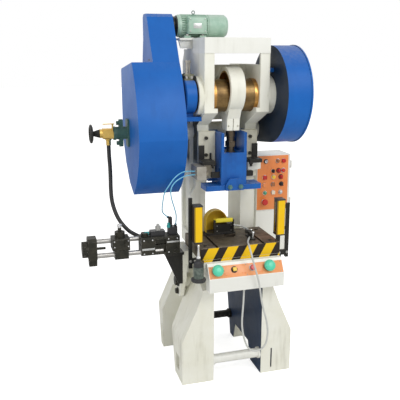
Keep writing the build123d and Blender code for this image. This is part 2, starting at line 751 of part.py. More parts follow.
def ram():
    # Slide: guide wings, an open front pocket for the ball screw and a wide die flange.
    y0 = ram_y - ram_front
    y1 = ram_y + ram_back
    body = block(-ram_half, ram_half, y0, y1, ram_bottom_z, ram_top_z)
    body = fillet(body.edges().filter_by(Axis.Z).group_by(Axis.Y)[0], 5)
    body += block(-wing_half, wing_half, guide_front_y + 0.05, y1, ram_bottom_z + ram_flange, ram_top_z)
    flange = block(-ram_flange_half, ram_flange_half, flange_front_y, flange_rear_y, ram_bottom_z,
                   ram_bottom_z + ram_flange)
    body += fillet(flange.edges().filter_by(Axis.Z), 6)
    body -= block(-pocket_half, pocket_half, y0 - 20, y1 - 12, pocket_floor_z, ram_top_z + 1)
    body -= block(-44, 44, y1 - 13, y1 + 1, pocket_floor_z + 10, ram_top_z + 1)
    body -= Pos(0, ram_y, ball_z) * Sphere(ball_r + shaft_step)
    body -= rod_z(0, ram_y, ball_z, pocket_floor_z + 1, ball_r + shaft_step)
    body -= block(-wing_half - 1, wing_half + 1, knockout_front_y - 1, knockout_front_y + knockout_thick + 1,
                  knockout_z, knockout_z + knockout_height + knockout_lift + 2)
    body -= rod_z(0, ram_y, ram_bottom_z - 1, ram_bottom_z + shank_depth, shank_r)
    for x in (-120, 120):
        body -= rod_z(x, ram_y, ram_bottom_z - 1, ram_bottom_z + ram_flange + 1, 9)
    return body


def shank_clamp():
    # Arched clamp in front of the shank bore, with its two studs and nuts.
    front = flange_front_y
    arch = polygon((-50, 1064), (50, 1064), (50, 1096), (30, 1128), (-30, 1128), (-50, 1096))
    body = along_y(fillet(arch.vertices().group_by(Axis.Y)[-1], 14), front - 16, front)
    body += block(-30, 30, front - 1, ram_y - ram_front, 1092, 1124)
    for x in (-30, 30):
        stud = rod_y(x, front - 34, front - 15, 1084, 7)
        stud += along_y(Pos(x, 1084) * RegularPolygon(13, 6), front - 27, front - 16)
        body += stud
    return body


def knockout_bar():
    body = block(-118, 118, knockout_front_y, knockout_front_y + knockout_thick, knockout_z,
                 knockout_z + knockout_height)
    return chamfer(body.edges().filter_by(Axis.Y), 3)


def rotary_union():
    # Green flanged union on the drive shaft's left end, which passes through the guard.
    body = block(-530, guard_left, drive_y - 36, drive_y + 36, drive_z - 74, drive_z + 74)
    body = fillet(body.edges().filter_by(Axis.X), 14)
    body += rod_x(-592, -528, drive_y, drive_z, 34)
    lobes = hull_face((drive_y, drive_z + 54), 20, (drive_y, drive_z - 54), 20.001)
    body += along_x(lobes, -572, -552)
    body += along_x(Pos(drive_y, drive_z) * RegularPolygon(40, 6), -604, -590)
    for z in (drive_z - 54, drive_z + 54):
        body += hexagon_x(-586, -571, drive_y, z, 12)
    body -= rod_x(-566, -519, drive_y, drive_z, shaft_end_r + shaft_step)
    return body


def brass_valve():
    # Brass stop valve: square body, tapered outlet below, gland at the left.
    body = block(-660, -604, drive_y - 27, drive_y + 27, drive_z - 28, drive_z + 26)
    body = chamfer(body.edges().filter_by(Axis.X), 7)
    body += turned_z([(0, 1296), (13, 1296), (13, 1318), (22, 1334), (22, drive_z - 20), (0, drive_z - 20)],
                     -630, drive_y)
    body += rod_x(-676, -658, drive_y, drive_z, 24)
    body += rod_x(-662, -600, drive_y - 30, 1412, 3)
    body += rod_z(-610, drive_y - 30, drive_z + 10, 1414, 5)
    body -= rod_x(-677, -640, drive_y, drive_z, 8 + shaft_step)
    return body


def handwheel():
    # Ribbed handwheel on a conical hub.
    profile = [(-640, 0), (-640, 8), (-676.3, 8), (-676.3, 22), (-684, 21), (-712, 12), (-712, 38),
               (-717, 50), (-726, 50), (-730, 40), (-722, 34), (-722, 0)]
    body = turned_x(profile, drive_y, drive_z)
    for number in range(12):
        angle = 2 * math.pi * number / 12
        body -= rod_x(-735, -705, drive_y + 54 * math.cos(angle), drive_z + 54 * math.sin(angle), 7)
    return body


def feeder_body():
    # Fixed clamp head of the strip feeder, with a strip channel and a top cylinder.
    body = block(feeder_x0, feeder_x1, feeder_y - 46, feeder_y + 46, feeder_low_z, feeder_high_z)
    body = chamfer(body.edges().filter_by(Axis.X), 6)
    body -= block(feeder_x0 - 1, feeder_x1 + 1, feeder_y - 30, feeder_y + 30, 778, 784)
    body -= block(-430, -372, feeder_y - 47, feeder_y - 30, 740, 812)
    body += rod_z(-480, feeder_y, feeder_high_z - 2, feeder_high_z + 18, 20)
    body += rod_y(-318, feeder_y - 52, feeder_y - 44, 741, 12)
    body += gland(hose_route[-1], hose_route[-2], 24, 13)
    body += block(-482, -448, feeder_y + 45, feeder_y + 76, 768, 806)
    for z in (rod_low_z, rod_high_z):
        body -= rod_x(feeder_x0 - 1, feeder_x0 + 120, rod_row_y(z), z, rod_r)
    return body


def rod_row_y(z):
    # The low rod runs in front and the high rod behind.
    return feeder_y - 26 if z == rod_low_z else feeder_y + 28


def feeder_bracket():
    gusset = polygon((-374, 714), (-ear_outer, 714), (-ear_outer, 533), (-296, 533))
    body = along_y(gusset, feeder_y - 8, feeder_y + 8)
    body += block(-376, -ear_outer, feeder_y - 40, feeder_y + 40, 712, feeder_low_z)
    body += block(-ear_outer - 12, -ear_outer, feeder_y - 8, feeder_y + 40, 533, 722)
    return body


def feeder_rods():
    rods = [rod_x(end_block_x0 + 6, feeder_x0 + 120, rod_row_y(z), z, rod_r) for z in (rod_low_z, rod_high_z)]
    return Compound(children=rods)


def feeder_end_block():
    # End plate with the stroke screw and its ribbed knob.
    face = polygon((-44, 730), (44, 730), (44, 826), (30, 841), (-30, 841), (-44, 826))
    body = along_x(Pos(feeder_y, 0) * face, end_block_x0, end_block_x1)
    body += along_x(Pos(feeder_y, 0) * polygon((-16, 686), (20, 686), (30, 732), (-30, 732)),
                    end_block_x0 + 4, end_block_x1)
    for z in (rod_low_z, rod_high_z):
        body -= rod_x(end_block_x0 + 6, end_block_x1 + 1, rod_row_y(z), z, rod_r)
    knob = rod_x(-813, end_block_x0 + 1, feeder_y, 777, 43)
    for number in range(14):
        angle = 2 * math.pi * number / 14
        knob -= rod_x(-814, -790, feeder_y + 45 * math.cos(angle), 777 + 45 * math.sin(angle), 5)
    body += knob
    body += rod_x(end_block_x1 - 2, -690, feeder_y, 777, 7)
    return body


def feeder_carriage():
    # Moving clamp on the rods, with a top cylinder and a side knob.
    body = block(carriage_x0, carriage_x1, feeder_y - 46, feeder_y + 46, 766, 832)
    body = chamfer(body.edges().filter_by(Axis.X), 5)
    body += block(carriage_x0 + 10, carriage_x1 - 8, feeder_y - 46, feeder_y - 8, 722, 768)
    body -= block(carriage_x0 - 1, carriage_x1 + 1, feeder_y - 30, feeder_y + 30, 778, 784)
    body += rod_z(-613, feeder_y, 830, 862, 27)
    body += rod_z(-613, feeder_y, 862, 884, 10)
    body += rod_y(-584, feeder_y - 66, feeder_y - 45, 812, 11)
    for z in (rod_low_z, rod_high_z):
        body -= rod_x(carriage_x0 - 1, carriage_x1 + 1, rod_row_y(z), z, rod_r + shaft_step)
    body -= rod_x(carriage_x0 - 1, carriage_x0 + 60, feeder_y, 777, 8)
    return body


def feeder_valves():
    # Two air valves on the fixed head: a lever valve and an elbow-fed solenoid valve.
    first = block(-450, -372, feeder_y - 22, feeder_y + 22, feeder_high_z, 852)
    first += rod_z(-406, feeder_y, 852, 874, 15)
    first += rod_z(-406, feeder_y, 874, 886, 8)
    first += rod_x(-458, -448, feeder_y, 838, 9)
    second = block(-352, -302, feeder_y - 20, feeder_y + 20, feeder_high_z, 868)
    second = fillet(second.edges().filter_by(Axis.Z), 5)
    second += rod_z(-338, feeder_y, 867, 912, 11)
    second += Pos(-338, feeder_y, 912) * Sphere(11)
    for route in (long_tube_route, short_tube_route):
        second += gland(route[-1], route[-2], 20, 7)
    return Compound(children=[first, second])


def panel_place(x, lift=0):
    # A place on the sloped panel, with its Z axis pointing out of the panel.
    rise = panel_top_z - panel_low_z
    run = panel_top_y - box_front_y
    tilt = math.degrees(math.atan2(rise, run))
    middle = Pos(x, (box_front_y + panel_top_y) / 2, (panel_low_z + panel_top_z) / 2)
    return middle * Rot(tilt, 0, 0) * Pos(0, 0, lift)


def control_box():
    profile = polygon((box_front_y, box_low_z), (box_front_y, panel_low_z), (panel_top_y, panel_top_z),
                      (table_front_y, panel_top_z), (table_front_y, box_low_z))
    body = along_x(profile, box_left, box_right)
    body -= along_x(offset(profile, -3), box_left + 3, box_right - 3)
    for x, radius, collar in button_row():
        body += panel_place(x, 0.5) * Cylinder(collar, 7)
        body -= panel_place(x, 0) * Cylinder(radius + shaft_step, 12)
    return body + gland(conduit_route[-1], conduit_route[-2], 20, 10)


def button_row():
    # Each button's X place, stem radius and collar radius.
    return ((-142, 12, 24), (148, 12, 24), (-48, 9, 14), (53, 8, 14))


def palm_button(x):
    # Mushroom head on a stem, with a domed crown.
    stem = panel_place(x, 2) * Cylinder(12, 40)
    face = make_face(Plane.XZ * Polyline((0, 14), (28, 14), (31, 18), (30, 25), (24, 32), (12, 37), (0, 38),
                                        close=True))
    return stem + panel_place(x) * revolve(face, Axis.Z)


def reset_button():
    stem = panel_place(-48, -2) * Cylinder(9, 28)
    cap = panel_place(-48, 15) * Box(20, 20, 9)
    return stem + chamfer(cap.edges(), 1.5)


def stop_button():
    stem = panel_place(53, 0) * Cylinder(8, 34)
    cap = panel_place(53, 18) * Cylinder(14, 9)
    return stem + chamfer(cap.edges(), 1.5)


def cabinet():
    # Sheet cabinet with an open front behind the door, on two brackets from the frame.
    wall = 3
    body = block(cabinet_left, cabinet_right, cabinet_front_y, cabinet_rear_y, cabinet_low_z, cabinet_top_z)
    body = fillet(body.edges().filter_by(Axis.Z), 4)
    body -= block(cabinet_left + wall, cabinet_right - wall, cabinet_front_y + wall, cabinet_rear_y - wall,
                  cabinet_low_z + wall, cabinet_top_z - wall)
    body -= block(cabinet_left + 14, cabinet_right - 14, cabinet_front_y - 1, cabinet_front_y + wall + 1,
                  door_low_z + 10, cabinet_top_z - 14)
    body += block(cabinet_left, cabinet_right, 96, cabinet_front_y, cabinet_low_z, door_low_z - door_gap)
    for z in (700, 1020):
        body += block(frame_outer, cabinet_left, 130, 210, z, z + 45)
    for z0, z1 in hinge_zs():
        body += block(cabinet_right - 0.4, cabinet_right + 12, 97, 114, z0 - 14, z0)
        body += rod_z(cabinet_right + 6, 96, z0 - 14, z1, 2.5)
        body += rod_z(cabinet_right + 6, 96, z0 - 14, z0, 6)
    return body


def hinge_zs():
    return ((door_low_z + 40, door_low_z + 70), (cabinet_top_z - 70, cabinet_top_z - 40))


def cabinet_door():
    # Door with its row of lamps, switches and push buttons, hinged at the right edge.
    y1 = cabinet_front_y - 0.4
    y0 = y1 - door_thick
    body = block(cabinet_left + 1, cabinet_right - 1, y0, y1, door_low_z, cabinet_top_z)
    for z0, z1 in hinge_zs():
        body += block(cabinet_right - 10, cabinet_right + 6, y0, y0 + 3, z0 + 0.4, z1)
        body += rod_z(cabinet_right + 6, 96, z0 + 0.4, z1, 6)
        body -= rod_z(cabinet_right + 6, 96, z0 - 1, z1 + 1, 2.5 + shaft_step)
    for x, z, radius, height in door_devices():
        body += rod_y(x, y0 - height, y0 + 1, z, radius)
    body -= rod_y(stop_x(), y0 - 20, y1 + 1, 915, 8 + shaft_step)
    body -= rod_y(selector_x(), y0 - 20, y1 + 1, 1100, 6.05)
    return body


def stop_x():
    return 283


def selector_x():
    return 335


def door_devices():
    # Four rows of devices: x, z, radius and height out of the door.
    rows = ((1158, (290, 365, 402), 10, 9), (1100, (selector_x(), 372, 402), 11, 7),
            (1062, (285, 340, 388), 11, 8), (1018, (284, 338, 392), 10, 8), (968, (288, 340, 388), 10, 9),
            (915, (stop_x(),), 15, 4))
    return [(x, z, radius, height) for z, xs, radius, height in rows for x in xs]


def cabinet_stop_button():
    y0 = cabinet_front_y - 0.4 - door_thick
    stem = rod_y(stop_x(), y0 - 16, y0 + 12, 915, 8)
    cap = rod_y(stop_x(), y0 - 28, y0 - 13, 915, 18)
    return stem + chamfer(cap.edges(), 3)


def cabinet_selector():
    y0 = cabinet_front_y - 0.4 - door_thick
    body = rod_y(selector_x(), y0 - 7.3, y0 + 12, 1100, 6)
    body += rod_y(selector_x(), y0 - 12, y0 - 7.3, 1100, 11)
    return body + block(selector_x() - 3.5, selector_x() + 3.5, y0 - 22, y0 - 11, 1090, 1110)


def light_curtains():
    # A sender and a receiver bar, each with end caps and a lens strip in its inner side.
    bars = []
    left_x = 16 - table_half
    right_x = table_half - 19
    for x0, x1, lens_x, z0 in ((left_x - 44, left_x, left_x, 818), (right_x, right_x + 46, right_x, 822)):
        bar = block(x0, x1, -287, -233, z0, z0 + 196)
        bar = chamfer(bar.edges().filter_by(Axis.Z), 5)
        bar -= block(lens_x - 2, lens_x + 2, -274, -246, z0 + 16, z0 + 180)
        bars.append(bar)
    return Compound(children=bars)


def curtain_posts():
    # Black flat bars behind the light bars, with arms to the bars and to the table's sides.
    left_x = -table_half - 26
    left = block(left_x - 18, left_x, -233, -217, 664, 1048)
    for z in (832, 992):
        left += block(left_x, left_x + 28, -233, -227, z, z + 18)
    left += block(left_x - 18, -table_half, -233, -217, 690, 718)
    right_x = table_half + 59
    right = block(right_x, right_x + 18, -233, -217, 676, 984)
    for z in (836, 960):
        right += block(right_x - 44, right_x, -233, -227, z, z + 18)
    right += block(table_half, right_x + 18, -233, -217, 690, 718)
    right += along_y(polygon((236, 718), (254, 718), (272, 640), (262, 575), (246, 582), (252, 640)),
                     -227, -217)
    right += block(table_half + 1, 250, -233, -227, 717, 812)
    return Compound(children=[left, right])


def air_filter():
    # Filter bowl at the table's front left corner, on a strap.
    profile = [(0, 626), (38, 626), (40, 632), (38, 640), (27, 644), (27, 706), (24, 728), (13, 736),
               (13, 750), (0, 750)]
    x = -table_half - 18
    body = turned_z(profile, x, -322)
    body += block(x - 15, x + 15, -322, table_front_y, 706, 716)
    return body + block(x + 3, x + 38, table_front_y - 6, table_front_y, 700, 722)


def pedal_base():
    # Cast sole plate and switch block of the foot switch.
    body = block(pedal_left, pedal_right, pedal_front_y, pedal_rear_y, table_top_z, table_top_z + 8)
    body = fillet(body.edges().filter_by(Axis.Z), 10)
    body += block(-66, 34, heel_y + 9, -8, table_top_z, switch_top_z)
    for x0, x1 in ((treadle_left - 10, treadle_left - 2), (treadle_right + 2, treadle_right + 10)):
        body += block(x0, x1, pedal_front_y, heel_y + 9, table_top_z + 7, treadle_z + 8)
    body += rod_x(treadle_left - 4, treadle_right + 4, heel_y, treadle_z, 3)
    return body + gland(conduit_route[0], conduit_route[1], 20, 9)


def hood_face(inset):
    # Straight sides under a round arch.
    x0 = pedal_left + inset
    x1 = hood_right - inset
    foot_z = table_top_z + 8 - inset
    crest = ((x0 + x1) / 2, 920 - inset)
    return outline(Polyline((x1, 860), (x1, foot_z), (x0, foot_z), (x0, 860)),
                   ThreePointArc((x0, 860), crest, (x1, 860)))


def pedal_hood():
    # Arched toe cap: a hollow dome that opens towards the operator.
    body = along_y(hood_face(0), hood_front_y, pedal_rear_y)
    body = fillet(body.edges().filter_by(GeomType.CIRCLE).group_by(Axis.Y)[-1], 8)
    body -= along_y(hood_face(guard_wall), hood_front_y - 1, pedal_rear_y - guard_wall)
    return body - block(hood_right - guard_wall - 1, hood_right + 1, hood_front_y - 1, -7,
                        table_top_z, switch_top_z + 2)


def pedal_treadle():
    # Treadle plate, narrower under the hood, on the heel pin at its front edge.
    z0 = treadle_z - treadle_thick / 2
    z1 = treadle_z + treadle_thick / 2
    body = block(treadle_left, treadle_right, pedal_front_y, hood_front_y - 2, z0, z1)
    body += block(treadle_left, 0, hood_front_y - 3, -20, z0, z1)
    for y in range(-56, -26, 10):
        body += block(treadle_left + 6, -6, y, y + 4, z1 - 1, z1 + 3)
    body += rod_x(treadle_left, treadle_right, heel_y, treadle_z, 7)
    body -= rod_x(treadle_left - 1, treadle_right + 1, heel_y, treadle_z, 3 + shaft_step)
    return body


def gland(end, inner, length, radius):
    # A collar that carries on where a cord's end run stops, face to face with it.
    heading = (Vector(*end) - Vector(*inner)).normalized()
    middle = Vector(*end) + heading * (length / 2)
    return Plane(origin=middle, z_dir=heading) * Cylinder(radius, length)


def cord_radii(points):
    # Each corner's arc is as large as its two runs allow.
    radii = []
    for before, corner, after in zip(points, points[1:], points[2:]):
        run_in = Vector(*corner) - Vector(*before)
        run_out = Vector(*after) - Vector(*corner)
        half_turn = math.radians(run_in.get_angle(run_out)) / 2
        radii.append(0.45 * min(run_in.length, run_out.length) / math.tan(half_turn))
    return radii


def cord(name, points, diameter):
    radii = cord_radii(points)
    path = FilletPolyline(*points, radius=radii)
    body = sweep(Plane(origin=path @ 0, z_dir=path % 0) * Circle(diameter / 2), path=path)
    share = body.volume / (math.pi * diameter ** 2 / 4 * path.length)
    print(name, "length", round(path.length), "least radius", round(min(radii)), "volume", round(share, 4))
    return body


# Routes of the cords, each from its gland or fitting to its far end
conduit_d = 10
conduit_route = [(50, -30, 822), (90, -33, 818), (122, -62, 805), (126, -105, 795), (108, -150, 793),
                 (84, -195, 794), (60, -240, 796), (40, -284, 800), (32, -326, 794), (33, -362, 757),
                 (44, -374, 704), (60, -375, 652), (75, -372, 600), (85, -370, 546), (93, -369, 492),
                 (107, -369, 438), (122, -370, 386), (133, -369, 332), (134, -368, 278),
                 (124, -368, 231), (96, -368, 206), (58, -367, 202), (25, -366, 221), (5, -362, 266),
                 (-6, -356, 317), (-9, -348, 369), (-3, -340, 421), (5, -329, 472), (10, -319, 513),
                 (12, -317, 547)]
hose_d = 22
hose_route = [(-630, 80, 1296), (-630, 80, 1240), (-627, 76, 1180), (-628, 66, 1118), (-631, 53, 1056),
              (-630, 36, 997), (-619, 14, 944), (-600, -10, 897), (-569, -31, 856), (-536, -38, 826),
              (-488, -38, 800)]
tube_d = 6
long_tube_route = [(-218, -164, 1175), (-256, -186, 1183), (-300, -213, 1185), (-345, -232, 1162),
                   (-373, -232, 1122), (-396, -220, 1084), (-397, -190, 1029), (-395, -158, 985),
                   (-386, -129, 950), (-354, -110, 924)]
short_tube_route = [(-218, -164, 1157), (-262, -196, 1164), (-307, -222, 1158), (-350, -238, 1136),
                    (-368, -236, 1098), (-356, -215, 1044), (-334, -182, 991), (-314, -152, 932),
                    (-311, -111, 880)]


def build():
    makers = {
        "left_leg": left_leg, "right_leg": right_leg, "front_tie_bar": front_tie_bar,
        "rear_tie_rod": rear_tie_rod, "tilt_bolts": tilt_bolts, "c_frame": c_frame,
        "bolster_plate": bolster_plate, "cap_screws": cap_screws, "crown_beam": crown_beam,
        "shaft_bushes": shaft_bushes, "gib_plates": gib_plates, "stop_brackets": stop_brackets,
        "side_blocks": side_blocks, "belt_guard": belt_guard, "gear_cover": gear_cover,
        "brake_band": brake_band, "brake_spring": brake_spring, "motor_housing": motor_housing,
        "fan_cover": fan_cover, "motor_base": motor_base, "v_belts": v_belts,
        "rotary_union": rotary_union, "brass_valve": brass_valve, "feeder_body": feeder_body,
        "feeder_bracket": feeder_bracket, "feeder_rods": feeder_rods,
        "feeder_end_block": feeder_end_block, "feeder_valves": feeder_valves,
        "control_box": control_box, "cabinet": cabinet, "light_curtains": light_curtains,
        "curtain_posts": curtain_posts, "air_filter": air_filter, "pedal_base": pedal_base,
        "pedal_hood": pedal_hood, "crankshaft": crankshaft, "brake_drum": brake_drum,
        "crank_gear": crank_gear, "pinion_shaft": pinion_shaft, "flywheel": flywheel,
        "motor_pulley": motor_pulley, "ram": ram, "shank_clamp": shank_clamp,
        "knockout_bar": knockout_bar, "pitman": pitman, "pitman_bush": pitman_bush,
        "ball_screw": ball_screw, "handwheel": handwheel, "feeder_carriage": feeder_carriage,
        "palm_button_left": lambda: palm_button(-142), "palm_button_right": lambda: palm_button(148),
        "reset_button": reset_button, "stop_button": stop_button, "pedal_treadle": pedal_treadle,
        "cabinet_door": cabinet_door, "cabinet_stop_button": cabinet_stop_button,
        "cabinet_selector": cabinet_selector,
        "pedal_conduit": lambda: cord("pedal_conduit", conduit_route, conduit_d),
        "feeder_hose": lambda: cord("feeder_hose", hose_route, hose_d),
        "air_tubes": lambda: Compound(children=[cord("long tube", long_tube_route, tube_d),
                                                cord("short tube", short_tube_route, tube_d)]),
    }
    os.makedirs("parts", exist_ok=True)
    for name, make in makers.items():
        export_step(make(), f"parts/{name}.step")


build()
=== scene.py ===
# Stamping press: paint, metal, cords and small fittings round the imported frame, in metres.
import json
import math

import bpy
from mathutils import Matrix, Vector


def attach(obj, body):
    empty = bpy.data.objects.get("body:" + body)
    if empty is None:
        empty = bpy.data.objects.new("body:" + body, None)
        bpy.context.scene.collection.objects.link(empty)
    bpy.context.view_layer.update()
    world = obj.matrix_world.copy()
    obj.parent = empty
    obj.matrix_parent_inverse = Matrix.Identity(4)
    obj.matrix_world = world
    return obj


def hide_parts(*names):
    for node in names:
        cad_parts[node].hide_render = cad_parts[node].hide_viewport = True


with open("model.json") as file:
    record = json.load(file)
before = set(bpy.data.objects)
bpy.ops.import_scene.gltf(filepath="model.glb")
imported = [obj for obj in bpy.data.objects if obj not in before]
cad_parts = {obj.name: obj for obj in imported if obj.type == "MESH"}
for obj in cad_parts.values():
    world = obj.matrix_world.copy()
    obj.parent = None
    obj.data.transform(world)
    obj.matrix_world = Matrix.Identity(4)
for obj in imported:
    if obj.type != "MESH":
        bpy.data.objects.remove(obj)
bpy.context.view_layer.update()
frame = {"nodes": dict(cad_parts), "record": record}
nodes = frame["nodes"]
bodyOf = {node: body for body, members in frame["record"]["behaviour"]["bodies"].items() for node in members}
print("frame loaded with", len(nodes), "nodes")


def setMode(mode):
    bpy.ops.object.mode_set(mode=mode)


def applyAll():
    bpy.ops.object.transform_apply(location=True, rotation=True, scale=True)


def deselectAll():
    if bpy.context.object and bpy.context.object.mode != "OBJECT":
        setMode("OBJECT")
    bpy.ops.object.select_all(action="DESELECT")


def makeActive(piece):
    deselectAll()
    piece.select_set(True)
    bpy.context.view_layer.objects.active = piece


def link(tree, source, target):
    tree.links.new(source, target)


def addNode(tree, kind, inputs=None, **settings):
    made = tree.nodes.new(kind)
    for key, value in settings.items():
        setattr(made, key, value)
    for key, value in (inputs or {}).items():
        if isinstance(value, bpy.types.NodeSocket):
            link(tree, value, made.inputs[key])
        else:
            made.inputs[key].default_value = value
    return made


def calc(tree, operation, first, second=0.0):
    return addNode(tree, "ShaderNodeMath", {0: first, 1: second}, operation=operation).outputs[0]


def remap(tree, value, low, high, outLow=0.0, outHigh=1.0):
    return addNode(tree, "ShaderNodeMapRange", {"Value": value, "From Min": low, "From Max": high,
                                                "To Min": outLow, "To Max": outHigh}).outputs[0]


def noise(tree, vector, scale, detail, rough=0.5):
    return addNode(tree, "ShaderNodeTexNoise", {"Vector": vector, "Scale": scale, "Detail": detail,
                                                "Roughness": rough}).outputs["Fac"]


def split(tree, vector):
    return addNode(tree, "ShaderNodeSeparateXYZ", {0: vector}).outputs


def mixColours(tree, factor, first, second):
    return addNode(tree, "ShaderNodeMix", {0: factor, 6: first, 7: second}, data_type="RGBA").outputs[2]


# The photograph's camera, and soft light over a pale floor.
viewpoint = {"place": (-1.04266, -3.07757, 1.77127), "yaw": 0.285, "pitch": 0.2431, "lens": 52.985,
             "sensor": 36}
lighting = {
    "sky": 0.62, "backdrop": 1.0,
    "lamps": [
        {"name": "keyLamp", "place": (1.3, -3.4, 3.9), "aim": (0.0, 0.0, 1.2), "size": 2.2, "power": 74},
        {"name": "sideLamp", "place": (-3.6, -2.2, 2.6), "aim": (0.0, 0.0, 1.1), "size": 2.6, "power": 24},
    ],
    "floorSize": 60, "floorColour": (0.86, 0.86, 0.85, 1), "floorRough": 0.9, "floorLift": 0.7,
}


def setCamera():
    deselectAll()
    bpy.ops.object.camera_add(location=viewpoint["place"],
                              rotation=(math.pi / 2 - viewpoint["pitch"], 0, -viewpoint["yaw"]))
    camera = bpy.context.object
    camera.data.lens = viewpoint["lens"]
    camera.data.sensor_width = viewpoint["sensor"]
    bpy.context.scene.camera = camera


def setLight():
    for lamp in lighting["lamps"]:
        aim = Vector(lamp["aim"]) - Vector(lamp["place"])
        bpy.ops.object.light_add(type="AREA", location=lamp["place"],
                                 rotation=aim.to_track_quat("-Z", "Y").to_euler())
        light = bpy.context.object
        light.name = lamp["name"]
        light.data.size = lamp["size"]
        light.data.energy = lamp["power"]
    world = bpy.data.worlds.new("studio")
    bpy.context.scene.world = world
    world.use_nodes = True
    tree = world.node_tree
    path = addNode(tree, "ShaderNodeLightPath").outputs
    seen = calc(tree, "MAXIMUM", path["Is Camera Ray"], path["Is Glossy Ray"])
    seen = calc(tree, "MAXIMUM", seen, path["Is Transmission Ray"])
    level = remap(tree, seen, 0.0, 1.0, lighting["sky"], lighting["backdrop"])
    link(tree, level, tree.nodes["Background"].inputs["Strength"])
    tree.nodes["Background"].inputs["Color"].default_value = (1, 1, 1, 1)


def layFloor():
    deselectAll()
    bpy.ops.mesh.primitive_plane_add(size=lighting["floorSize"], location=(0, 0, 0))
    floor = bpy.context.object
    floor.name = "studioFloor"
    paint = bpy.data.materials.new("studioFloorPaint")
    paint.use_nodes = True
    tree = paint.node_tree
    shader = tree.nodes["Principled BSDF"]
    shader.inputs["Base Color"].default_value = lighting["floorColour"]
    shader.inputs["Roughness"].default_value = lighting["floorRough"]
    shader.inputs["Emission Color"].default_value = (1, 1, 1, 1)
    path = addNode(tree, "ShaderNodeLightPath").outputs
    lift = calc(tree, "MULTIPLY", path["Is Camera Ray"], lighting["floorLift"])
    link(tree, lift, shader.inputs["Emission Strength"])
    floor.data.materials.append(paint)


setCamera()
setLight()
layFloor()
bpy.context.scene.view_settings.view_transform = "Standard"
print("camera, lamps and floor set")

socketKinds = dict.fromkeys(("Colour", "Tint", "Stain", "Worn", "Dark", "Dust"), "NodeSocketColor")
socketKinds["Vector"] = "NodeSocketVector"


def newGroup(name, inputs, outputs=("Colour", "Mask")):
    # A shader group; a socket that socketKinds doesn't name carries a number.
    group = bpy.data.node_groups.new(name, "ShaderNodeTree")
    for way, labels in (("INPUT", inputs), ("OUTPUT", outputs)):
        for label in labels:
            group.interface.new_socket(label, in_out=way,
                                       socket_type=socketKinds.get(label, "NodeSocketFloat"))
    return group, group.nodes.new("NodeGroupInput").outputs, group.nodes.new("NodeGroupOutput").inputs


def putOut(tree, given, out, label, mask):
    # Blends the given colour to the one with this label, by mask and amount.
    share = calc(tree, "MULTIPLY", mask, given["Amount"])
    link(tree, mixColours(tree, share, given["Colour"], given[label]), out["Colour"])
    link(tree, mask, out["Mask"])
    return tree


def buildMottle():
    # Cloudy change of tone, as old paint and handled plastic have.
    tree, given, out = newGroup("mottle", ("Vector", "Colour", "Tint", "Scale", "Amount"))
    cloud = noise(tree, given["Vector"], given["Scale"], detail=7.0, rough=0.62)
    return putOut(tree, given, out, "Tint", remap(tree, cloud, low=0.38, high=0.72))


def buildStreaks():
    # Oil and dust that has run down an upright face.
    tree, given, out = newGroup("streaks", ("Vector", "Colour", "Stain", "Scale", "Amount"))
    drawn = addNode(tree, "ShaderNodeMapping", {"Vector": given["Vector"], "Scale": (1.0, 1.0, 0.11)})
    runs = noise(tree, drawn.outputs[0], given["Scale"], detail=5.0, rough=0.55)
    patches = noise(tree, given["Vector"], 5.0, detail=3.0)
    mask = calc(tree, "MULTIPLY", remap(tree, runs, low=0.5, high=0.74),
                remap(tree, patches, low=0.42, high=0.66))
    return putOut(tree, given, out, "Stain", mask)


def buildEdgeWear():
    # Rubbed and chipped edges: where a rounded normal leaves the true one, broken up by noise.
    tree, given, out = newGroup("edgeWear", ("Vector", "Colour", "Worn", "Radius", "Amount", "Scale"))
    rounded = addNode(tree, "ShaderNodeBevel", {"Radius": given["Radius"]}, samples=3)
    flat = addNode(tree, "ShaderNodeNewGeometry")
    facing = addNode(tree, "ShaderNodeVectorMath", {0: rounded.outputs[0], 1: flat.outputs["Normal"]},
                     operation="DOT_PRODUCT")
    edge = remap(tree, facing.outputs["Value"], low=0.985, high=0.86)
    chips = noise(tree, given["Vector"], given["Scale"], detail=6.0, rough=0.7)
    return putOut(tree, given, out, "Worn", calc(tree, "MULTIPLY", edge, remap(tree, chips, 0.46, 0.6)))


def buildCastSkin():
    # Height of a sand-cast or sprayed skin: broad waves and a fine grain.
    tree, given, out = newGroup("castSkin", ("Vector", "Scale", "Grain", "Waves"), ("Height",))
    fine = noise(tree, given["Vector"], given["Scale"], detail=3.0, rough=0.6)
    broad = noise(tree, given["Vector"], 22.0, detail=2.0)
    total = calc(tree, "ADD", calc(tree, "MULTIPLY", fine, given["Grain"]),
                 calc(tree, "MULTIPLY", broad, given["Waves"]))
    link(tree, total, out["Height"])
    return tree


def buildScratches():
    # Fine marks left by a tool or by rubbing, drawn along X, with dark spots between them.
    tree, given, out = newGroup("scratches", ("Vector", "Colour", "Dark", "Scale", "Amount"))
    drawn = addNode(tree, "ShaderNodeMapping", {"Vector": given["Vector"], "Scale": (0.06, 1.0, 1.0)})
    marks = noise(tree, drawn.outputs[0], given["Scale"], detail=4.0, rough=0.7)
    spots = noise(tree, given["Vector"], 34.0, detail=6.0, rough=0.66)
    mask = calc(tree, "ADD", remap(tree, marks, low=0.5, high=0.62, outHigh=0.5),
                remap(tree, spots, low=0.5, high=0.68, outHigh=0.6))
    return putOut(tree, given, out, "Dark", mask)


def buildTopDust():
    # Dust and chips of dry grease that settle on what faces up.
    tree, given, out = newGroup("topDust", ("Vector", "Colour", "Dust", "Amount"))
    facing = split(tree, addNode(tree, "ShaderNodeNewGeometry").outputs["Normal"])
    motes = noise(tree, given["Vector"], 60.0, detail=8.0, rough=0.75)
    mask = calc(tree, "MULTIPLY", remap(tree, facing["Z"], low=0.55, high=0.95),
                remap(tree, motes, low=0.4, high=0.62, outLow=0.25))
    return putOut(tree, given, out, "Dust", mask)


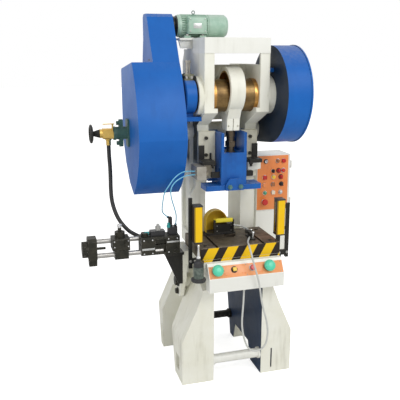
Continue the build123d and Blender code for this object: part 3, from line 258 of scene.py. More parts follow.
groups = {"mottle": buildMottle(), "streaks": buildStreaks(), "edgeWear": buildEdgeWear(),
          "castSkin": buildCastSkin(), "scratches": buildScratches(), "topDust": buildTopDust()}


def useGroup(tree, name, inputs):
    return addNode(tree, "ShaderNodeGroup", inputs, node_tree=groups[name]).outputs


# What a finish has where finishTable says nothing; colours are red, green and blue.
plainFinish = {
    "tint": (0.3, 0.3, 0.3), "tintScale": 30.0, "tintAmount": 0.5, "stain": (0.2, 0.17, 0.1),
    "stainScale": 26.0, "stainAmount": 0.0, "worn": (0.2, 0.2, 0.2), "wear": 0.0, "wearRadius": 0.003,
    "wearScale": 90.0, "dust": (0.4, 0.38, 0.33), "dustAmount": 0.0, "marks": (0.1, 0.1, 0.1),
    "marksAmount": 0.0, "marksScale": 160.0, "metal": 0.0, "rough": 0.36, "roughSwing": 0.12, "coat": 0.0,
    "coatRough": 0.15, "grain": 0.5, "waves": 0.2, "grainScale": 420.0, "relief": 0.0006, "gloss": 0.5,
    "reliefStrength": 0.6,
}

finishTable = {
    "creamCasting": {
        "colour": (0.9, 0.895, 0.8), "tint": (0.76, 0.74, 0.58), "tintAmount": 0.45, "tintScale": 6.0,
        "stain": (0.3, 0.27, 0.16), "stainAmount": 0.5, "worn": (0.25, 0.23, 0.18), "wear": 0.55,
        "rough": 0.42, "waves": 1.0, "relief": 0.0012, "dustAmount": 0.35, "dust": (0.5, 0.47, 0.38),
        "slot": "cream_casting"},
    "creamPaint": {
        "colour": (0.88, 0.88, 0.82), "tint": (0.76, 0.76, 0.67), "tintAmount": 0.3, "tintScale": 5.0,
        "stain": (0.35, 0.33, 0.25), "stainAmount": 0.3, "worn": (0.28, 0.27, 0.24), "wear": 0.4,
        "rough": 0.34, "coat": 0.25, "dustAmount": 0.25, "slot": "cream_paint"},
    "machinedCream": {
        "colour": (0.78, 0.75, 0.6), "tint": (0.5, 0.46, 0.33), "tintScale": 24.0,
        "stain": (0.1, 0.08, 0.05), "stainAmount": 0.7, "worn": (0.14, 0.12, 0.09), "wear": 0.7,
        "rough": 0.4, "slot": "cream_casting"},
    "blackPaint": {
        "colour": (0.012, 0.012, 0.011), "tint": (0.035, 0.032, 0.024), "tintAmount": 0.6,
        "worn": (0.2, 0.19, 0.17), "wear": 0.6, "rough": 0.38, "gloss": 0.3, "dustAmount": 0.25,
        "dust": (0.2, 0.19, 0.17), "tintScale": 9.0, "slot": "black_paint"},
    "guardBlue": {
        "colour": (0.01, 0.135, 0.5), "tint": (0.004, 0.08, 0.35), "tintAmount": 0.55, "tintScale": 3.2,
        "stain": (0.006, 0.03, 0.12), "stainAmount": 0.25, "worn": (0.1, 0.3, 0.66), "wear": 0.5,
        "roughSwing": 0.1, "gloss": 0.22, "waves": 0.6, "relief": 0.0009, "dustAmount": 0.25,
        "slot": "blue_paint"},
    "slideBlue": {
        "colour": (0.014, 0.13, 0.46), "tint": (0.008, 0.06, 0.3), "tintScale": 14.0,
        "stain": (0.01, 0.02, 0.06), "stainAmount": 0.6, "worn": (0.2, 0.34, 0.66), "wear": 0.9,
        "rough": 0.3, "gloss": 0.3, "waves": 0.7, "relief": 0.001, "slot": "blue_paint"},
    "greenEnamel": {
        "colour": (0.44, 0.6, 0.49), "tint": (0.2, 0.42, 0.3), "tintAmount": 0.7, "tintScale": 20.0,
        "stain": (0.03, 0.1, 0.07), "stainAmount": 0.7, "worn": (0.6, 0.66, 0.6), "wear": 0.7,
        "dustAmount": 0.5, "dust": (0.5, 0.55, 0.5), "slot": "green_enamel"},
    "darkGreen": {
        "colour": (0.03, 0.1, 0.075), "tint": (0.1, 0.2, 0.16), "worn": (0.35, 0.4, 0.36), "wear": 0.8,
        "rough": 0.34, "slot": "green_enamel"},
    "orangePaint": {
        "colour": (0.86, 0.25, 0.055), "tint": (0.93, 0.36, 0.12), "tintScale": 11.0,
        "stain": (0.35, 0.08, 0.02), "stainAmount": 0.35, "worn": (0.9, 0.62, 0.42), "wear": 0.5,
        "coat": 0.2, "slot": "orange_paint"},
    "panelOrange": {
        "colour": (0.9, 0.34, 0.11), "tint": (0.94, 0.46, 0.22), "tintScale": 11.0,
        "stain": (0.45, 0.15, 0.05), "stainAmount": 0.3, "worn": (0.9, 0.7, 0.55), "wear": 0.4, "coat": 0.2,
        "slot": "orange_paint"},
    "yellowPaint": {
        "colour": (0.93, 0.585, 0.006), "tint": (0.88, 0.46, 0.008), "tintAmount": 0.4, "tintScale": 18.0,
        "worn": (0.35, 0.25, 0.08), "wear": 0.5, "gloss": 0.25, "slot": "yellow_paint"},
    # Painted shade: the pedal hood's yellow paint darkened to brownish gold, as the hood looks in shade; its
    # streaks are dirt.
    "pedalYellowShaded": {
        "colour": (0.66, 0.42, 0.012), "tint": (0.42, 0.24, 0.01), "tintAmount": 0.6, "tintScale": 22.0,
        "stain": (0.12, 0.06, 0.01), "stainAmount": 0.5, "worn": (0.75, 0.55, 0.2), "wear": 0.5,
        "rough": 0.4, "waves": 0.8, "relief": 0.001, "slot": "yellow_paint"},
    "treadleYellow": {
        "colour": (0.95, 0.8, 0.05), "tint": (0.85, 0.62, 0.02), "tintAmount": 0.4, "tintScale": 40.0,
        "worn": (0.25, 0.2, 0.08), "wear": 0.6, "rough": 0.45, "slot": "yellow_paint"},
    "darkCasting": {
        "colour": (0.026, 0.026, 0.02), "tint": (0.07, 0.062, 0.044), "tintAmount": 0.6, "tintScale": 26.0,
        "worn": (0.32, 0.3, 0.28), "wear": 0.8, "metal": 0.4, "rough": 0.42, "gloss": 0.3, "waves": 1.0,
        "relief": 0.001, "slot": "dark_casting"},
    "groundSteel": {
        "colour": (0.52, 0.51, 0.49), "tint": (0.34, 0.32, 0.28), "marks": (0.16, 0.14, 0.12),
        "marksAmount": 0.55, "metal": 1.0, "rough": 0.3, "worn": (0.7, 0.7, 0.68), "wear": 0.6,
        "slot": "ground_steel"},
    "tableSteel": {
        "colour": (0.2, 0.165, 0.12), "tint": (0.07, 0.052, 0.036), "tintAmount": 0.8, "tintScale": 12.0,
        "marks": (0.035, 0.026, 0.02), "marksAmount": 0.8, "marksScale": 90.0, "metal": 0.75, "rough": 0.42,
        "roughSwing": 0.2, "worn": (0.55, 0.5, 0.42), "wear": 0.8, "slot": "ground_steel"},
    "oiledSteel": {
        "colour": (0.16, 0.125, 0.085), "tint": (0.05, 0.036, 0.024), "tintAmount": 0.7, "tintScale": 20.0,
        "marks": (0.02, 0.016, 0.012), "marksAmount": 0.5, "metal": 0.85, "rough": 0.3,
        "worn": (0.4, 0.35, 0.28), "wear": 0.5, "slot": "dark_casting"},
    "crankSteel": {
        "colour": (0.3, 0.19, 0.07), "tint": (0.085, 0.045, 0.018), "tintAmount": 0.75, "tintScale": 13.0,
        "marks": (0.06, 0.035, 0.015), "marksAmount": 0.5, "metal": 0.75, "rough": 0.34,
        "worn": (0.6, 0.5, 0.34), "wear": 0.5, "slot": "dark_casting"},
    "bronze": {
        "colour": (0.62, 0.34, 0.1), "tint": (0.28, 0.13, 0.04), "tintAmount": 0.7, "tintScale": 18.0,
        "marks": (0.1, 0.05, 0.02), "marksAmount": 0.5, "metal": 0.9, "rough": 0.32,
        "worn": (0.8, 0.55, 0.25), "wear": 0.5, "slot": "bronze"},
    "brass": {
        "colour": (0.8, 0.55, 0.16), "tint": (0.5, 0.3, 0.07), "tintScale": 40.0, "metal": 1.0,
        "rough": 0.26, "worn": (0.9, 0.75, 0.4), "wear": 0.6, "slot": "bronze"},
    "aluminium": {
        "colour": (0.62, 0.63, 0.62), "tint": (0.45, 0.45, 0.43), "tintAmount": 0.4,
        "marks": (0.25, 0.25, 0.24), "marksAmount": 0.4, "metal": 0.85, "worn": (0.8, 0.8, 0.8), "wear": 0.4,
        "slot": "aluminium"},
    "greyCasting": {
        "colour": (0.42, 0.4, 0.35), "tint": (0.22, 0.19, 0.14), "tintAmount": 0.6, "tintScale": 26.0,
        "stain": (0.08, 0.06, 0.04), "stainAmount": 0.6, "metal": 0.2, "rough": 0.42,
        "worn": (0.7, 0.68, 0.6), "wear": 0.6, "slot": "aluminium"},
    "chrome": {
        "colour": (0.78, 0.78, 0.78), "tint": (0.62, 0.62, 0.62), "tintAmount": 0.3, "metal": 1.0,
        "rough": 0.14, "roughSwing": 0.08, "tintScale": 9.0, "slot": "aluminium"},
    "blackPlastic": {
        "colour": (0.018, 0.018, 0.02), "tint": (0.05, 0.05, 0.05), "tintAmount": 0.4, "tintScale": 50.0,
        "dustAmount": 0.3, "dust": (0.2, 0.19, 0.18), "slot": "black_plastic"},
    "buttonGreen": {
        "colour": (0.08, 0.66, 0.42), "tint": (0.22, 0.76, 0.54), "tintAmount": 0.4, "tintScale": 40.0,
        "rough": 0.3, "coat": 0.2, "slot": "button_green"},
    "buttonYellow": {
        "colour": (0.9, 0.58, 0.03), "tint": (0.95, 0.7, 0.12), "tintAmount": 0.4, "tintScale": 60.0,
        "rough": 0.3, "slot": "button_yellow"},
    "buttonRed": {
        "colour": (0.62, 0.018, 0.015), "tint": (0.4, 0.01, 0.01), "tintScale": 60.0, "rough": 0.28,
        "coat": 0.2, "slot": "button_red"},
    "lensGreen": {
        "colour": (0.03, 0.3, 0.16), "tint": (0.1, 0.5, 0.3), "tintAmount": 0.6, "tintScale": 90.0,
        "rough": 0.14, "coat": 0.6, "slot": "button_green"},
    "smokedLens": {
        "colour": (0.035, 0.012, 0.008), "tint": (0.08, 0.02, 0.012), "tintScale": 90.0, "rough": 0.16,
        "coat": 0.3, "slot": "black_plastic"},
    "lensWhite": {
        "colour": (0.85, 0.72, 0.52), "tint": (0.9, 0.85, 0.75), "tintScale": 90.0, "rough": 0.16,
        "coat": 0.6, "slot": "aluminium"},
    "rubber": {
        "colour": (0.014, 0.014, 0.015), "tint": (0.04, 0.038, 0.035), "tintAmount": 0.6, "tintScale": 14.0,
        "rough": 0.5, "slot": "black_rubber"},
    "conduitGrey": {
        "colour": (0.56, 0.57, 0.54), "tint": (0.74, 0.74, 0.7), "rough": 0.42, "metal": 0.1,
        "slot": "grey_conduit"},
    "tubeBlue": {
        "colour": (0.14, 0.48, 0.7), "tint": (0.35, 0.68, 0.84), "tintAmount": 0.6, "tintScale": 12.0,
        "rough": 0.22, "coat": 0.4, "slot": "blue_tube"},
    "tealPlastic": {
        "colour": (0.02, 0.3, 0.3), "tint": (0.06, 0.45, 0.42), "tintScale": 80.0, "rough": 0.3,
        "slot": "blue_tube"},
    "rustBrown": {
        "colour": (0.34, 0.13, 0.05), "tint": (0.5, 0.22, 0.08), "tintScale": 60.0, "rough": 0.42,
        "slot": "bronze"},
}


def fullLook(look):
    return {key: (*value, 1.0) if isinstance(value, tuple) else value
            for key, value in {**plainFinish, **look}.items()}


def shadeSurface(tree, look, coords):
    # Runs the object's coordinates through the groups that this finish uses.
    tone = useGroup(tree, "mottle", {"Vector": coords, "Colour": look["colour"], "Tint": look["tint"],
                                     "Scale": look["tintScale"], "Amount": look["tintAmount"]})
    shade = tone["Colour"]
    layers = [("scratches", "Dark", "marks", "marksAmount", {"Scale": look["marksScale"]}),
              ("streaks", "Stain", "stain", "stainAmount", {"Scale": look["stainScale"]}),
              ("topDust", "Dust", "dust", "dustAmount", {}),
              ("edgeWear", "Worn", "worn", "wear", {"Radius": look["wearRadius"],
                                                    "Scale": look["wearScale"]})]
    for group, label, other, amount, more in layers:
        if look[amount]:
            shade = useGroup(tree, group, {"Vector": coords, "Colour": shade, label: look[other],
                                           "Amount": look[amount], **more})["Colour"]
    return shade, tone["Mask"]


def makeFinish(name, look):
    look = fullLook(look)
    made = bpy.data.materials.new(name)
    made.use_nodes = True
    tree = made.node_tree
    shader = tree.nodes["Principled BSDF"]
    coords = addNode(tree, "ShaderNodeTexCoord").outputs["Object"]
    shade, cloud = shadeSurface(tree, look, coords)
    link(tree, shade, shader.inputs["Base Color"])
    rough = remap(tree, cloud, 0.0, 1.0, look["rough"], look["rough"] + look["roughSwing"])
    link(tree, rough, shader.inputs["Roughness"])
    skin = useGroup(tree, "castSkin", {"Vector": coords, "Scale": look["grainScale"],
                                       "Grain": look["grain"], "Waves": look["waves"]})
    bump = addNode(tree, "ShaderNodeBump", {"Height": skin["Height"], "Strength": look["reliefStrength"],
                                            "Distance": look["relief"]})
    link(tree, bump.outputs[0], shader.inputs["Normal"])
    for label, key in (("Metallic", "metal"), ("Coat Weight", "coat"), ("Specular IOR Level", "gloss"),
                       ("Coat Roughness", "coatRough")):
        shader.inputs[label].default_value = look[key]
    return made


finishes = {name: makeFinish(name, look) for name, look in finishTable.items()}
print("finishes mixed:", len(finishes))


def tintWhere(finishName, newName, extra, mask):
    # A copy of a finish whose colour changes to another where the mask, made in the copy, is 1.
    made = finishes[finishName].copy()
    made.name = newName
    tree = made.node_tree
    shader = tree.nodes["Principled BSDF"]
    coords = next(node for node in tree.nodes if node.type == "TEX_COORD").outputs["Object"]
    first = shader.inputs["Base Color"].links[0].from_socket
    second = shadeSurface(tree, fullLook(extra), coords)[0]
    link(tree, mixColours(tree, mask(tree, coords), first, second), shader.inputs["Base Color"])
    finishes[newName] = made
    finishTable[newName] = finishTable[finishName]


def normalX(tree):
    return split(tree, addNode(tree, "ShaderNodeTexCoord").outputs["Normal"])["X"]


def sideFaces(tree, coords):
    # 1 on faces that look along X, either way.
    return remap(tree, calc(tree, "ABSOLUTE", normalX(tree)), low=0.6, high=0.8)


def leftFaces(tree, coords):
    # 1 on faces that look to the left.
    return remap(tree, normalX(tree), low=-0.6, high=-0.8)


# The striped paint: distances along X, and the black paint's look.
hazard = {
    "pitch": 0.108, "start": -0.219, "lean": 0.54, "lowZ": 0.709, "yellowShare": 0.55, "ragged": 0.0015,
    "soft": 0.004,
    "black": {"colour": (0.018, 0.012, 0.01), "tint": (0.05, 0.03, 0.02), "wear": 0.5,
        "worn": (0.35, 0.25, 0.1), "tintAmount": 0.25},
}


def hazardMask(tree, coords):
    # 1 in the black stripes, which lean to the right across the table's front.
    axes = split(tree, coords)
    wave = noise(tree, coords, 60.0, detail=3.0)
    along = calc(tree, "SUBTRACT", axes["X"],
                 calc(tree, "MULTIPLY", calc(tree, "SUBTRACT", axes["Z"], hazard["lowZ"]), hazard["lean"]))
    along = calc(tree, "ADD", along, remap(tree, wave, 0.0, 1.0, -hazard["ragged"], hazard["ragged"]))
    start = hazard["start"] - 10 * hazard["pitch"]  # whole stripes further left, so that no turn is negative
    turn = calc(tree, "FRACT", calc(tree, "DIVIDE", calc(tree, "SUBTRACT", along, start), hazard["pitch"]))
    return remap(tree, turn, hazard["yellowShare"] - hazard["soft"], hazard["yellowShare"] + hazard["soft"])


def insideBox(low, high):
    # A mask that is 1 between two corners.
    def mask(tree, coords):
        axes = split(tree, coords)
        share = 1.0
        for axis, least, most in zip("XYZ", low, high):
            share = calc(tree, "MULTIPLY", calc(tree, "GREATER_THAN", axes[axis], least), share)
            share = calc(tree, "MULTIPLY", calc(tree, "LESS_THAN", axes[axis], most), share)
        return share
    return mask


# Where the neck's left side is darkened by oil and by painted shadow from the belt guard.
oilAndShadowBand = {"low": (1.165, 1.215), "high": (1.475, 1.435), "left": (-0.12, -0.14), "ragged": 0.03}


def oilAndShadowNeck(tree, coords):
    # The neck's left side between the belt guard and the manifold, darkened: oil, and painted shadow cast by
    # the belt guard.
    axes = split(tree, coords)
    wave = noise(tree, coords, 16.0, detail=4.0)
    height = calc(tree, "ADD", axes["Z"],
                  remap(tree, wave, 0.0, 1.0, -oilAndShadowBand["ragged"], oilAndShadowBand["ragged"]))
    band = calc(tree, "MULTIPLY", remap(tree, height, *oilAndShadowBand["low"]),
                remap(tree, height, *oilAndShadowBand["high"]))
    return calc(tree, "MULTIPLY", calc(tree, "MULTIPLY", band, leftFaces(tree, coords)),
                remap(tree, axes["X"], *oilAndShadowBand["left"]))


tintWhere("yellowPaint", "hazardPaint", hazard["black"], hazardMask)
tintWhere("yellowPaint", "curtainYellow",
          {"colour": (0.05, 0.03, 0.02), "tintScale": 40.0, "tint": (0.1, 0.06, 0.03), "tintAmount": 0.25},
          sideFaces)
# Painted shade: the gear cover's left-facing faces near-black navy, the shade inside the cover; the paint
# there is the same blue.
tintWhere("guardBlue", "coverBlueShadedLeft",
          {"colour": (0.002, 0.012, 0.034), "tintScale": 9.0, "tint": (0.006, 0.028, 0.07),
           "tintAmount": 0.25}, leftFaces)
tintWhere("creamCasting", "legCream",
          {"colour": (0.006, 0.026, 0.075), "tintScale": 7.0, "tint": (0.01, 0.04, 0.1),
           "tintAmount": 0.25}, leftFaces)
# The motor's left end, beyond x = -0.2465, near black: partly the dark flange, partly painted shade beside
# the belt guard.
tintWhere("greenEnamel", "motorGreenShadedEnd",
          {"colour": (0.015, 0.017, 0.016), "tint": (0.05, 0.06, 0.055), "tintAmount": 0.25},
          insideBox((-1, -1, 0), (-0.2465, 1, 3)))
# Painted shadow and oil: the neck's left side near black beside the belt guard.
tintWhere("creamCasting", "frameCream",
          {"colour": (0.04, 0.045, 0.032), "tintScale": 12.0, "tint": (0.15, 0.15, 0.1),
           "tintAmount": 0.7}, oilAndShadowNeck)
tintWhere("greyCasting", "whiteBlock",
          {"colour": (0.84, 0.83, 0.76), "tintScale": 20.0, "tint": (0.7, 0.68, 0.58), "tintAmount": 0.25},
          insideBox((0, -1, 0), (1, 1, 3)))
tintWhere("whiteBlock", "sideBlockPaint",
          {"colour": (0.5, 0.44, 0.32), "tint": (0.3, 0.24, 0.16), "tintAmount": 0.6},
          insideBox((-0.1585, -0.0985, 0), (-0.09, 0, 3)))
tintWhere("guardBlue", "bandPaint",
          {"colour": (0.24, 0.24, 0.17), "tintScale": 40.0, "tint": (0.1, 0.1, 0.07), "tintAmount": 0.6},
          insideBox((-1, -1, 1.6405), (1, 1, 3)))
tintWhere("slideBlue", "clampPaint",
          {"colour": (0.1, 0.22, 0.2), "tintScale": 40.0, "tint": (0.3, 0.36, 0.32), "tintAmount": 0.25},
          insideBox((-1, -0.3, 0), (1, -0.1885, 3)))
tintWhere("blackPlastic", "filterGlass",
          {"colour": (0.05, 0.075, 0.06), "tintScale": 60.0, "tint": (0.25, 0.29, 0.25), "tintAmount": 0.7},
          insideBox((-1, -1, 0.6445), (1, 1, 0.7055)))
tintWhere("blackPlastic", "valveMetal",
          {"colour": (0.5, 0.5, 0.47), "tintScale": 70.0, "tint": (0.22, 0.21, 0.19), "tintAmount": 0.6},
          insideBox((-0.425, -0.12, 0.8525), (-0.385, -0.08, 1)))

nodeFinish = {
    "creamCasting": ["left_leg", "pitman"],
    "legCream": ["right_leg"],
    "creamPaint": ["front_tie_bar", "crown_beam", "motor_base", "control_box", "cabinet", "cabinet_door"],
    "blackPaint": [
        "rear_tie_rod", "stop_brackets", "feeder_bracket", "curtain_posts", "pedal_base", "knockout_bar",
        "handwheel",
    ],
    "darkCasting": [
        "tilt_bolts", "cap_screws", "feeder_body", "feeder_end_block", "flywheel", "motor_pulley",
        "feeder_carriage",
    ],
    "frameCream": ["c_frame"],
    "tableSteel": ["bolster_plate"],
    "bronze": ["shaft_bushes", "pitman_bush"],
    "machinedCream": ["gib_plates"],
    "sideBlockPaint": ["side_blocks"],
    "guardBlue": ["belt_guard", "brake_drum"],
    "coverBlueShadedLeft": ["gear_cover"],
    "bandPaint": ["brake_band"],
    "groundSteel": ["brake_spring", "feeder_rods", "pinion_shaft"],
    "motorGreenShadedEnd": ["motor_housing"],
    "greenEnamel": ["fan_cover"],
    "rubber": ["v_belts"],
    "darkGreen": ["rotary_union"],
    "brass": ["brass_valve"],
    "valveMetal": ["feeder_valves"],
    "curtainYellow": ["light_curtains"],
    "filterGlass": ["air_filter"],
    "pedalYellowShaded": ["pedal_hood"],
    "crankSteel": ["crankshaft"],
    "oiledSteel": ["crank_gear", "ball_screw"],
    "slideBlue": ["ram"],
    "clampPaint": ["shank_clamp"],
    "buttonGreen": ["palm_button_left", "palm_button_right"],
    "buttonYellow": ["reset_button"],
    "buttonRed": ["stop_button", "cabinet_stop_button"],
    "treadleYellow": ["pedal_treadle"],
    "blackPlastic": ["cabinet_selector"],
}
for finish, names in nodeFinish.items():
    for name in names:
        nodes[name].data.materials.clear()
        nodes[name].data.materials.append(finishes[finish])
print("CAD nodes finished:", sum(len(names) for names in nodeFinish.values()))

# Each cord lies on the route of its solid; its points are in millimetres.
cordShape = {"round": 5, "steps": 10, "order": 3}
cordPlans = {
    "pedalConduit": {
        "stands": "pedal_conduit", "finish": "conduitGrey", "diameter": 0.01, "length": 1.4,
        "stiffness": "medium", "lay": "hanging",
        "points": [(50, -30, 822), (90, -33, 818), (122, -62, 805), (126, -105, 795), (108, -150, 793),
            (84, -195, 794), (60, -240, 796), (40, -284, 800), (32, -326, 794), (33, -362, 757),
            (44, -374, 704), (60, -375, 652), (75, -372, 600), (85, -370, 546), (93, -369, 492),
            (107, -369, 438), (122, -370, 386), (133, -369, 332), (134, -368, 278), (124, -368, 231),
            (96, -368, 206), (58, -367, 202), (25, -366, 221), (5, -362, 266), (-6, -356, 317),
            (-9, -348, 369), (-3, -340, 421), (5, -329, 472), (10, -319, 513), (12, -317, 547)]},
    "feederHose": {
        "stands": "feeder_hose", "finish": "rubber", "diameter": 0.022, "length": 0.572,
        "stiffness": "stiff", "lay": "hanging",
        "points": [(-630, 80, 1296), (-630, 80, 1240), (-627, 76, 1180), (-628, 66, 1118), (-631, 53, 1056),
            (-630, 36, 997), (-619, 14, 944), (-600, -10, 897), (-569, -31, 856), (-536, -38, 826),
            (-488, -38, 800)]},
    "longAirTube": {
        "stands": "air_tubes", "finish": "tubeBlue", "diameter": 0.006, "length": 0.449,
        "stiffness": "medium", "lay": "hanging",
        "points": [(-218, -164, 1175), (-256, -186, 1183), (-300, -213, 1185), (-345, -232, 1162),
            (-373, -232, 1122), (-396, -220, 1084), (-397, -190, 1029), (-395, -158, 985), (-386, -129, 950),
            (-354, -110, 924)]},
    "shortAirTube": {
        "stands": "air_tubes", "finish": "tubeBlue", "diameter": 0.006, "length": 0.456,
        "stiffness": "medium", "lay": "hanging",
        "points": [(-218, -164, 1157), (-262, -196, 1164), (-307, -222, 1158), (-350, -238, 1136),
            (-368, -236, 1098), (-356, -215, 1044), (-334, -182, 991), (-314, -152, 932), (-311, -111, 880)]},
}


def layCord(name, plan):
    line = bpy.data.curves.new(name, "CURVE")
    line.dimensions = "3D"
    line.bevel_depth = plan["diameter"] / 2
    line.bevel_resolution = cordShape["round"]
    line.resolution_u = cordShape["steps"]
    points = [tuple(value / 1000 for value in point) for point in plan["points"]]
    spline = line.splines.new("NURBS")
    spline.points.add(len(points) - 1)
    for point, place in zip(spline.points, points):
        point.co = (*place, 1.0)
    spline.order_u = cordShape["order"]
    spline.use_endpoint_u = True
    made = bpy.data.objects.new(name, line)
    bpy.context.scene.collection.objects.link(made)
    line.materials.append(finishes[plan["finish"]])
    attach(made, bodyOf[plan["stands"]])
    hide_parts(plan["stands"])


for name, plan in cordPlans.items():
    layCord(name, plan)
print("cords laid:", len(cordPlans))


def turnedPiece(profile, sides=32):
    # Draws a foot circle and extrudes it up through (radius, height) steps, along +Z.
    deselectAll()
    bpy.ops.mesh.primitive_circle_add(vertices=sides, radius=profile[0][0], fill_type="NGON",
                                      location=(0, 0, profile[0][1]))
    piece = bpy.context.object
    applyAll()
    setMode("EDIT")
    bpy.ops.mesh.select_mode(type="FACE")
    bpy.ops.mesh.select_all(action="SELECT")
    for (radius, height), (nextRadius, nextHeight) in zip(profile, profile[1:]):
        bpy.ops.mesh.extrude_region_move(TRANSFORM_OT_translate={"value": (0, 0, nextHeight - height)})
        share = nextRadius / radius
        bpy.ops.transform.resize(value=(share, share, 1), center_override=(0, 0, nextHeight))
    bpy.ops.mesh.select_all(action="SELECT")
    bpy.ops.mesh.normals_make_consistent(inside=False)
    setMode("OBJECT")
    return piece


def boxPiece(low, high, edge):
    # A block between two corners with all its edges rounded.
    deselectAll()
    middle = [(a + b) / 2 for a, b in zip(low, high)]
    bpy.ops.mesh.primitive_cube_add(size=1, location=middle)
    piece = bpy.context.object
    piece.scale = [b - a for a, b in zip(low, high)]
    applyAll()
    if edge:
        setMode("EDIT")
        bpy.ops.mesh.select_all(action="SELECT")
        bpy.ops.mesh.bevel(offset=edge, segments=2)
        setMode("OBJECT")
    return piece


def sinkFace(piece, direction, border, depth):
    # Insets the face that looks one way and moves it in; the rounded edges' faces are smaller.
    way = Vector(direction)
    makeActive(piece)
    setMode("EDIT")
    bpy.ops.mesh.select_mode(type="FACE")
    bpy.ops.mesh.select_all(action="DESELECT")
    setMode("OBJECT")
    for face in piece.data.polygons:
        face.select = face.normal.dot(way) > 0.99 and face.area > border * border
    setMode("EDIT")
    bpy.ops.mesh.inset(thickness=border)
    bpy.ops.mesh.extrude_region_move(TRANSFORM_OT_translate={"value": tuple(-way * depth)})
    setMode("OBJECT")
    return piece


def setPlace(piece, matrix):
    makeActive(piece)
    piece.matrix_world = matrix
    applyAll()
    return piece


def standAt(piece, place, axis=(0, 0, 1), roll=0.0):
    turn = Vector(axis).to_track_quat("Z", "Y").to_matrix().to_4x4() @ Matrix.Rotation(roll, 4, "Z")
    return setPlace(piece, Matrix.Translation(place) @ turn @ piece.matrix_world)


def copyOf(piece):
    twin = piece.copy()
    twin.data = piece.data.copy()
    bpy.context.scene.collection.objects.link(twin)
    return twin


def joinAll(parts):
    deselectAll()
    for part in parts:
        part.select_set(True)
    bpy.context.view_layer.objects.active = parts[0]
    if len(parts) > 1:
        bpy.ops.object.join()
    return bpy.context.object


def stamp(pattern, places):
    # Copies of one pattern, each with its own mesh, at (place, axis) pairs and joined.
    made = [standAt(copyOf(pattern), place, axis) for place, axis in places]
    bpy.data.objects.remove(pattern)
    return joinAll(made)


smoothBelow = math.radians(32)


def finishPiece(piece, name, finish, body="frame"):
    makeActive(piece)
    applyAll()
    bpy.ops.object.shade_smooth_by_angle(angle=smoothBelow)
    piece.name = name
    piece.data.name = name
    piece.data.materials.clear()
    piece.data.materials.append(finishes[finish])
    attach(piece, body)


# Bought hardware, as (radius, height) shares of its size.
hardware = {
    "hexHead": [(0.9, 0.18), (0.96, 0.24), (0.96, 0.74), (0.82, 0.86)],
    "washer": [(1.2, 0.0), (1.2, 0.14), (1.12, 0.2)],
    "panHead": [(1.0, 0.0), (1.0, 0.22), (0.86, 0.5), (0.45, 0.66)],
    "crossArms": ((0.62, 0.16), (0.16, 0.62)), "crossLow": 0.66, "crossHigh": 0.69,
    "eyeFoot": [(0.9, 0.0), (0.9, 0.3), (0.5, 0.5)], "eyeWire": 0.28, "eyeRise": 1.5,
}


def turnedShares(name, size, sides=32):
    return turnedPiece([(radius * size, height * size) for radius, height in hardware[name]], sides)


def hexBolt(size):
    # Chamfered hexagon head on a washer; size is the thread diameter.
    return joinAll([turnedShares("hexHead", size, 6), turnedShares("washer", size, 20)])


def panScrew(size):
    # Cross-head screw with a domed top.
    head = turnedShares("panHead", size, 16)
    for wide, deep in hardware["crossArms"]:
        bar = boxPiece((-wide * size, -deep * size, hardware["crossLow"] * size),
                       (wide * size, deep * size, hardware["crossHigh"] * size), 0)
        head = joinAll([head, bar])
    return head


def eyeBolt(size):
    # Lifting eye on a stepped foot.
    deselectAll()
    bpy.ops.mesh.primitive_torus_add(major_radius=size, minor_radius=hardware["eyeWire"] * size,
                                     major_segments=28, minor_segments=10, rotation=(math.pi / 2, 0, 0),
                                     location=(0, 0, hardware["eyeRise"] * size))
    ring = bpy.context.object
    applyAll()
    return joinAll([ring, turnedShares("eyeFoot", size)])


# Two strips of striped paint on the table's front.
hazardBand = {"left": -0.2252, "right": 0.2252, "front": -0.2862, "back": -0.2847,
              "strips": [(0.7093, 0.7212), (0.7228, 0.7842)], "edge": 0.0004}


def makeHazardBand():
    strips = [boxPiece((hazardBand["left"], hazardBand["front"], low),
                       (hazardBand["right"], hazardBand["back"], high), hazardBand["edge"])
              for low, high in hazardBand["strips"]]
    finishPiece(joinAll(strips), "hazardBand", "hazardPaint")


makeHazardBand()

# The control box's sloped panel: low and high are its edges' y and z, and shares run from low to high.
# A collar has an x, its inner and outer radius, and a finish; its steps start from either radius.
buttonPanel = {
    "low": (-0.345, 0.631), "high": (-0.3, 0.705), "left": -0.187, "right": 0.227,
    "under": 0.0001, "thick": 0.0014, "margin": 0.004, "bareTop": 0.013, "edge": 0.0005,
    "screwSize": 0.003, "screwInset": 0.012, "screwShares": (0.12, 0.74),
    "collars": [(-0.142, (0.0245, 0.028), "blackPlastic"), (0.148, (0.0245, 0.028), "blackPlastic"),
                (-0.048, (0.0146, 0.0175), "blackPlastic"), (0.053, (0.0146, 0.0175), "aluminium")],
    "collarSteps": [(0, 0.0, 0.001), (1, -0.002, 0.001), (1, 0.0, 0.003), (1, 0.0, 0.0045),
                    (1, -0.002, 0.0062), (0, 0.0008, 0.0062), (0, 0.0, 0.005)], "collarSides": 40,
    "legendXs": (-0.095, 0.004, 0.1), "legendShare": 0.24, "legendEdge": 0.0003,
    "legendSize": (0.022, 0.009, 0.0008),
}


def slopePlace(x, share, lift=0.0):
    low, high = buttonPanel["low"], buttonPanel["high"]
    along = Vector((0, high[0] - low[0], high[1] - low[1]))
    normal = Vector((0, -along.z, along.y)).normalized()
    return Vector((x, *low)) + along * share + normal * lift, normal


def makeCollar(radii):
    steps = [(radii[which] + wider, height) for which, wider, height in buttonPanel["collarSteps"]]
    return turnedPiece(steps, buttonPanel["collarSides"])


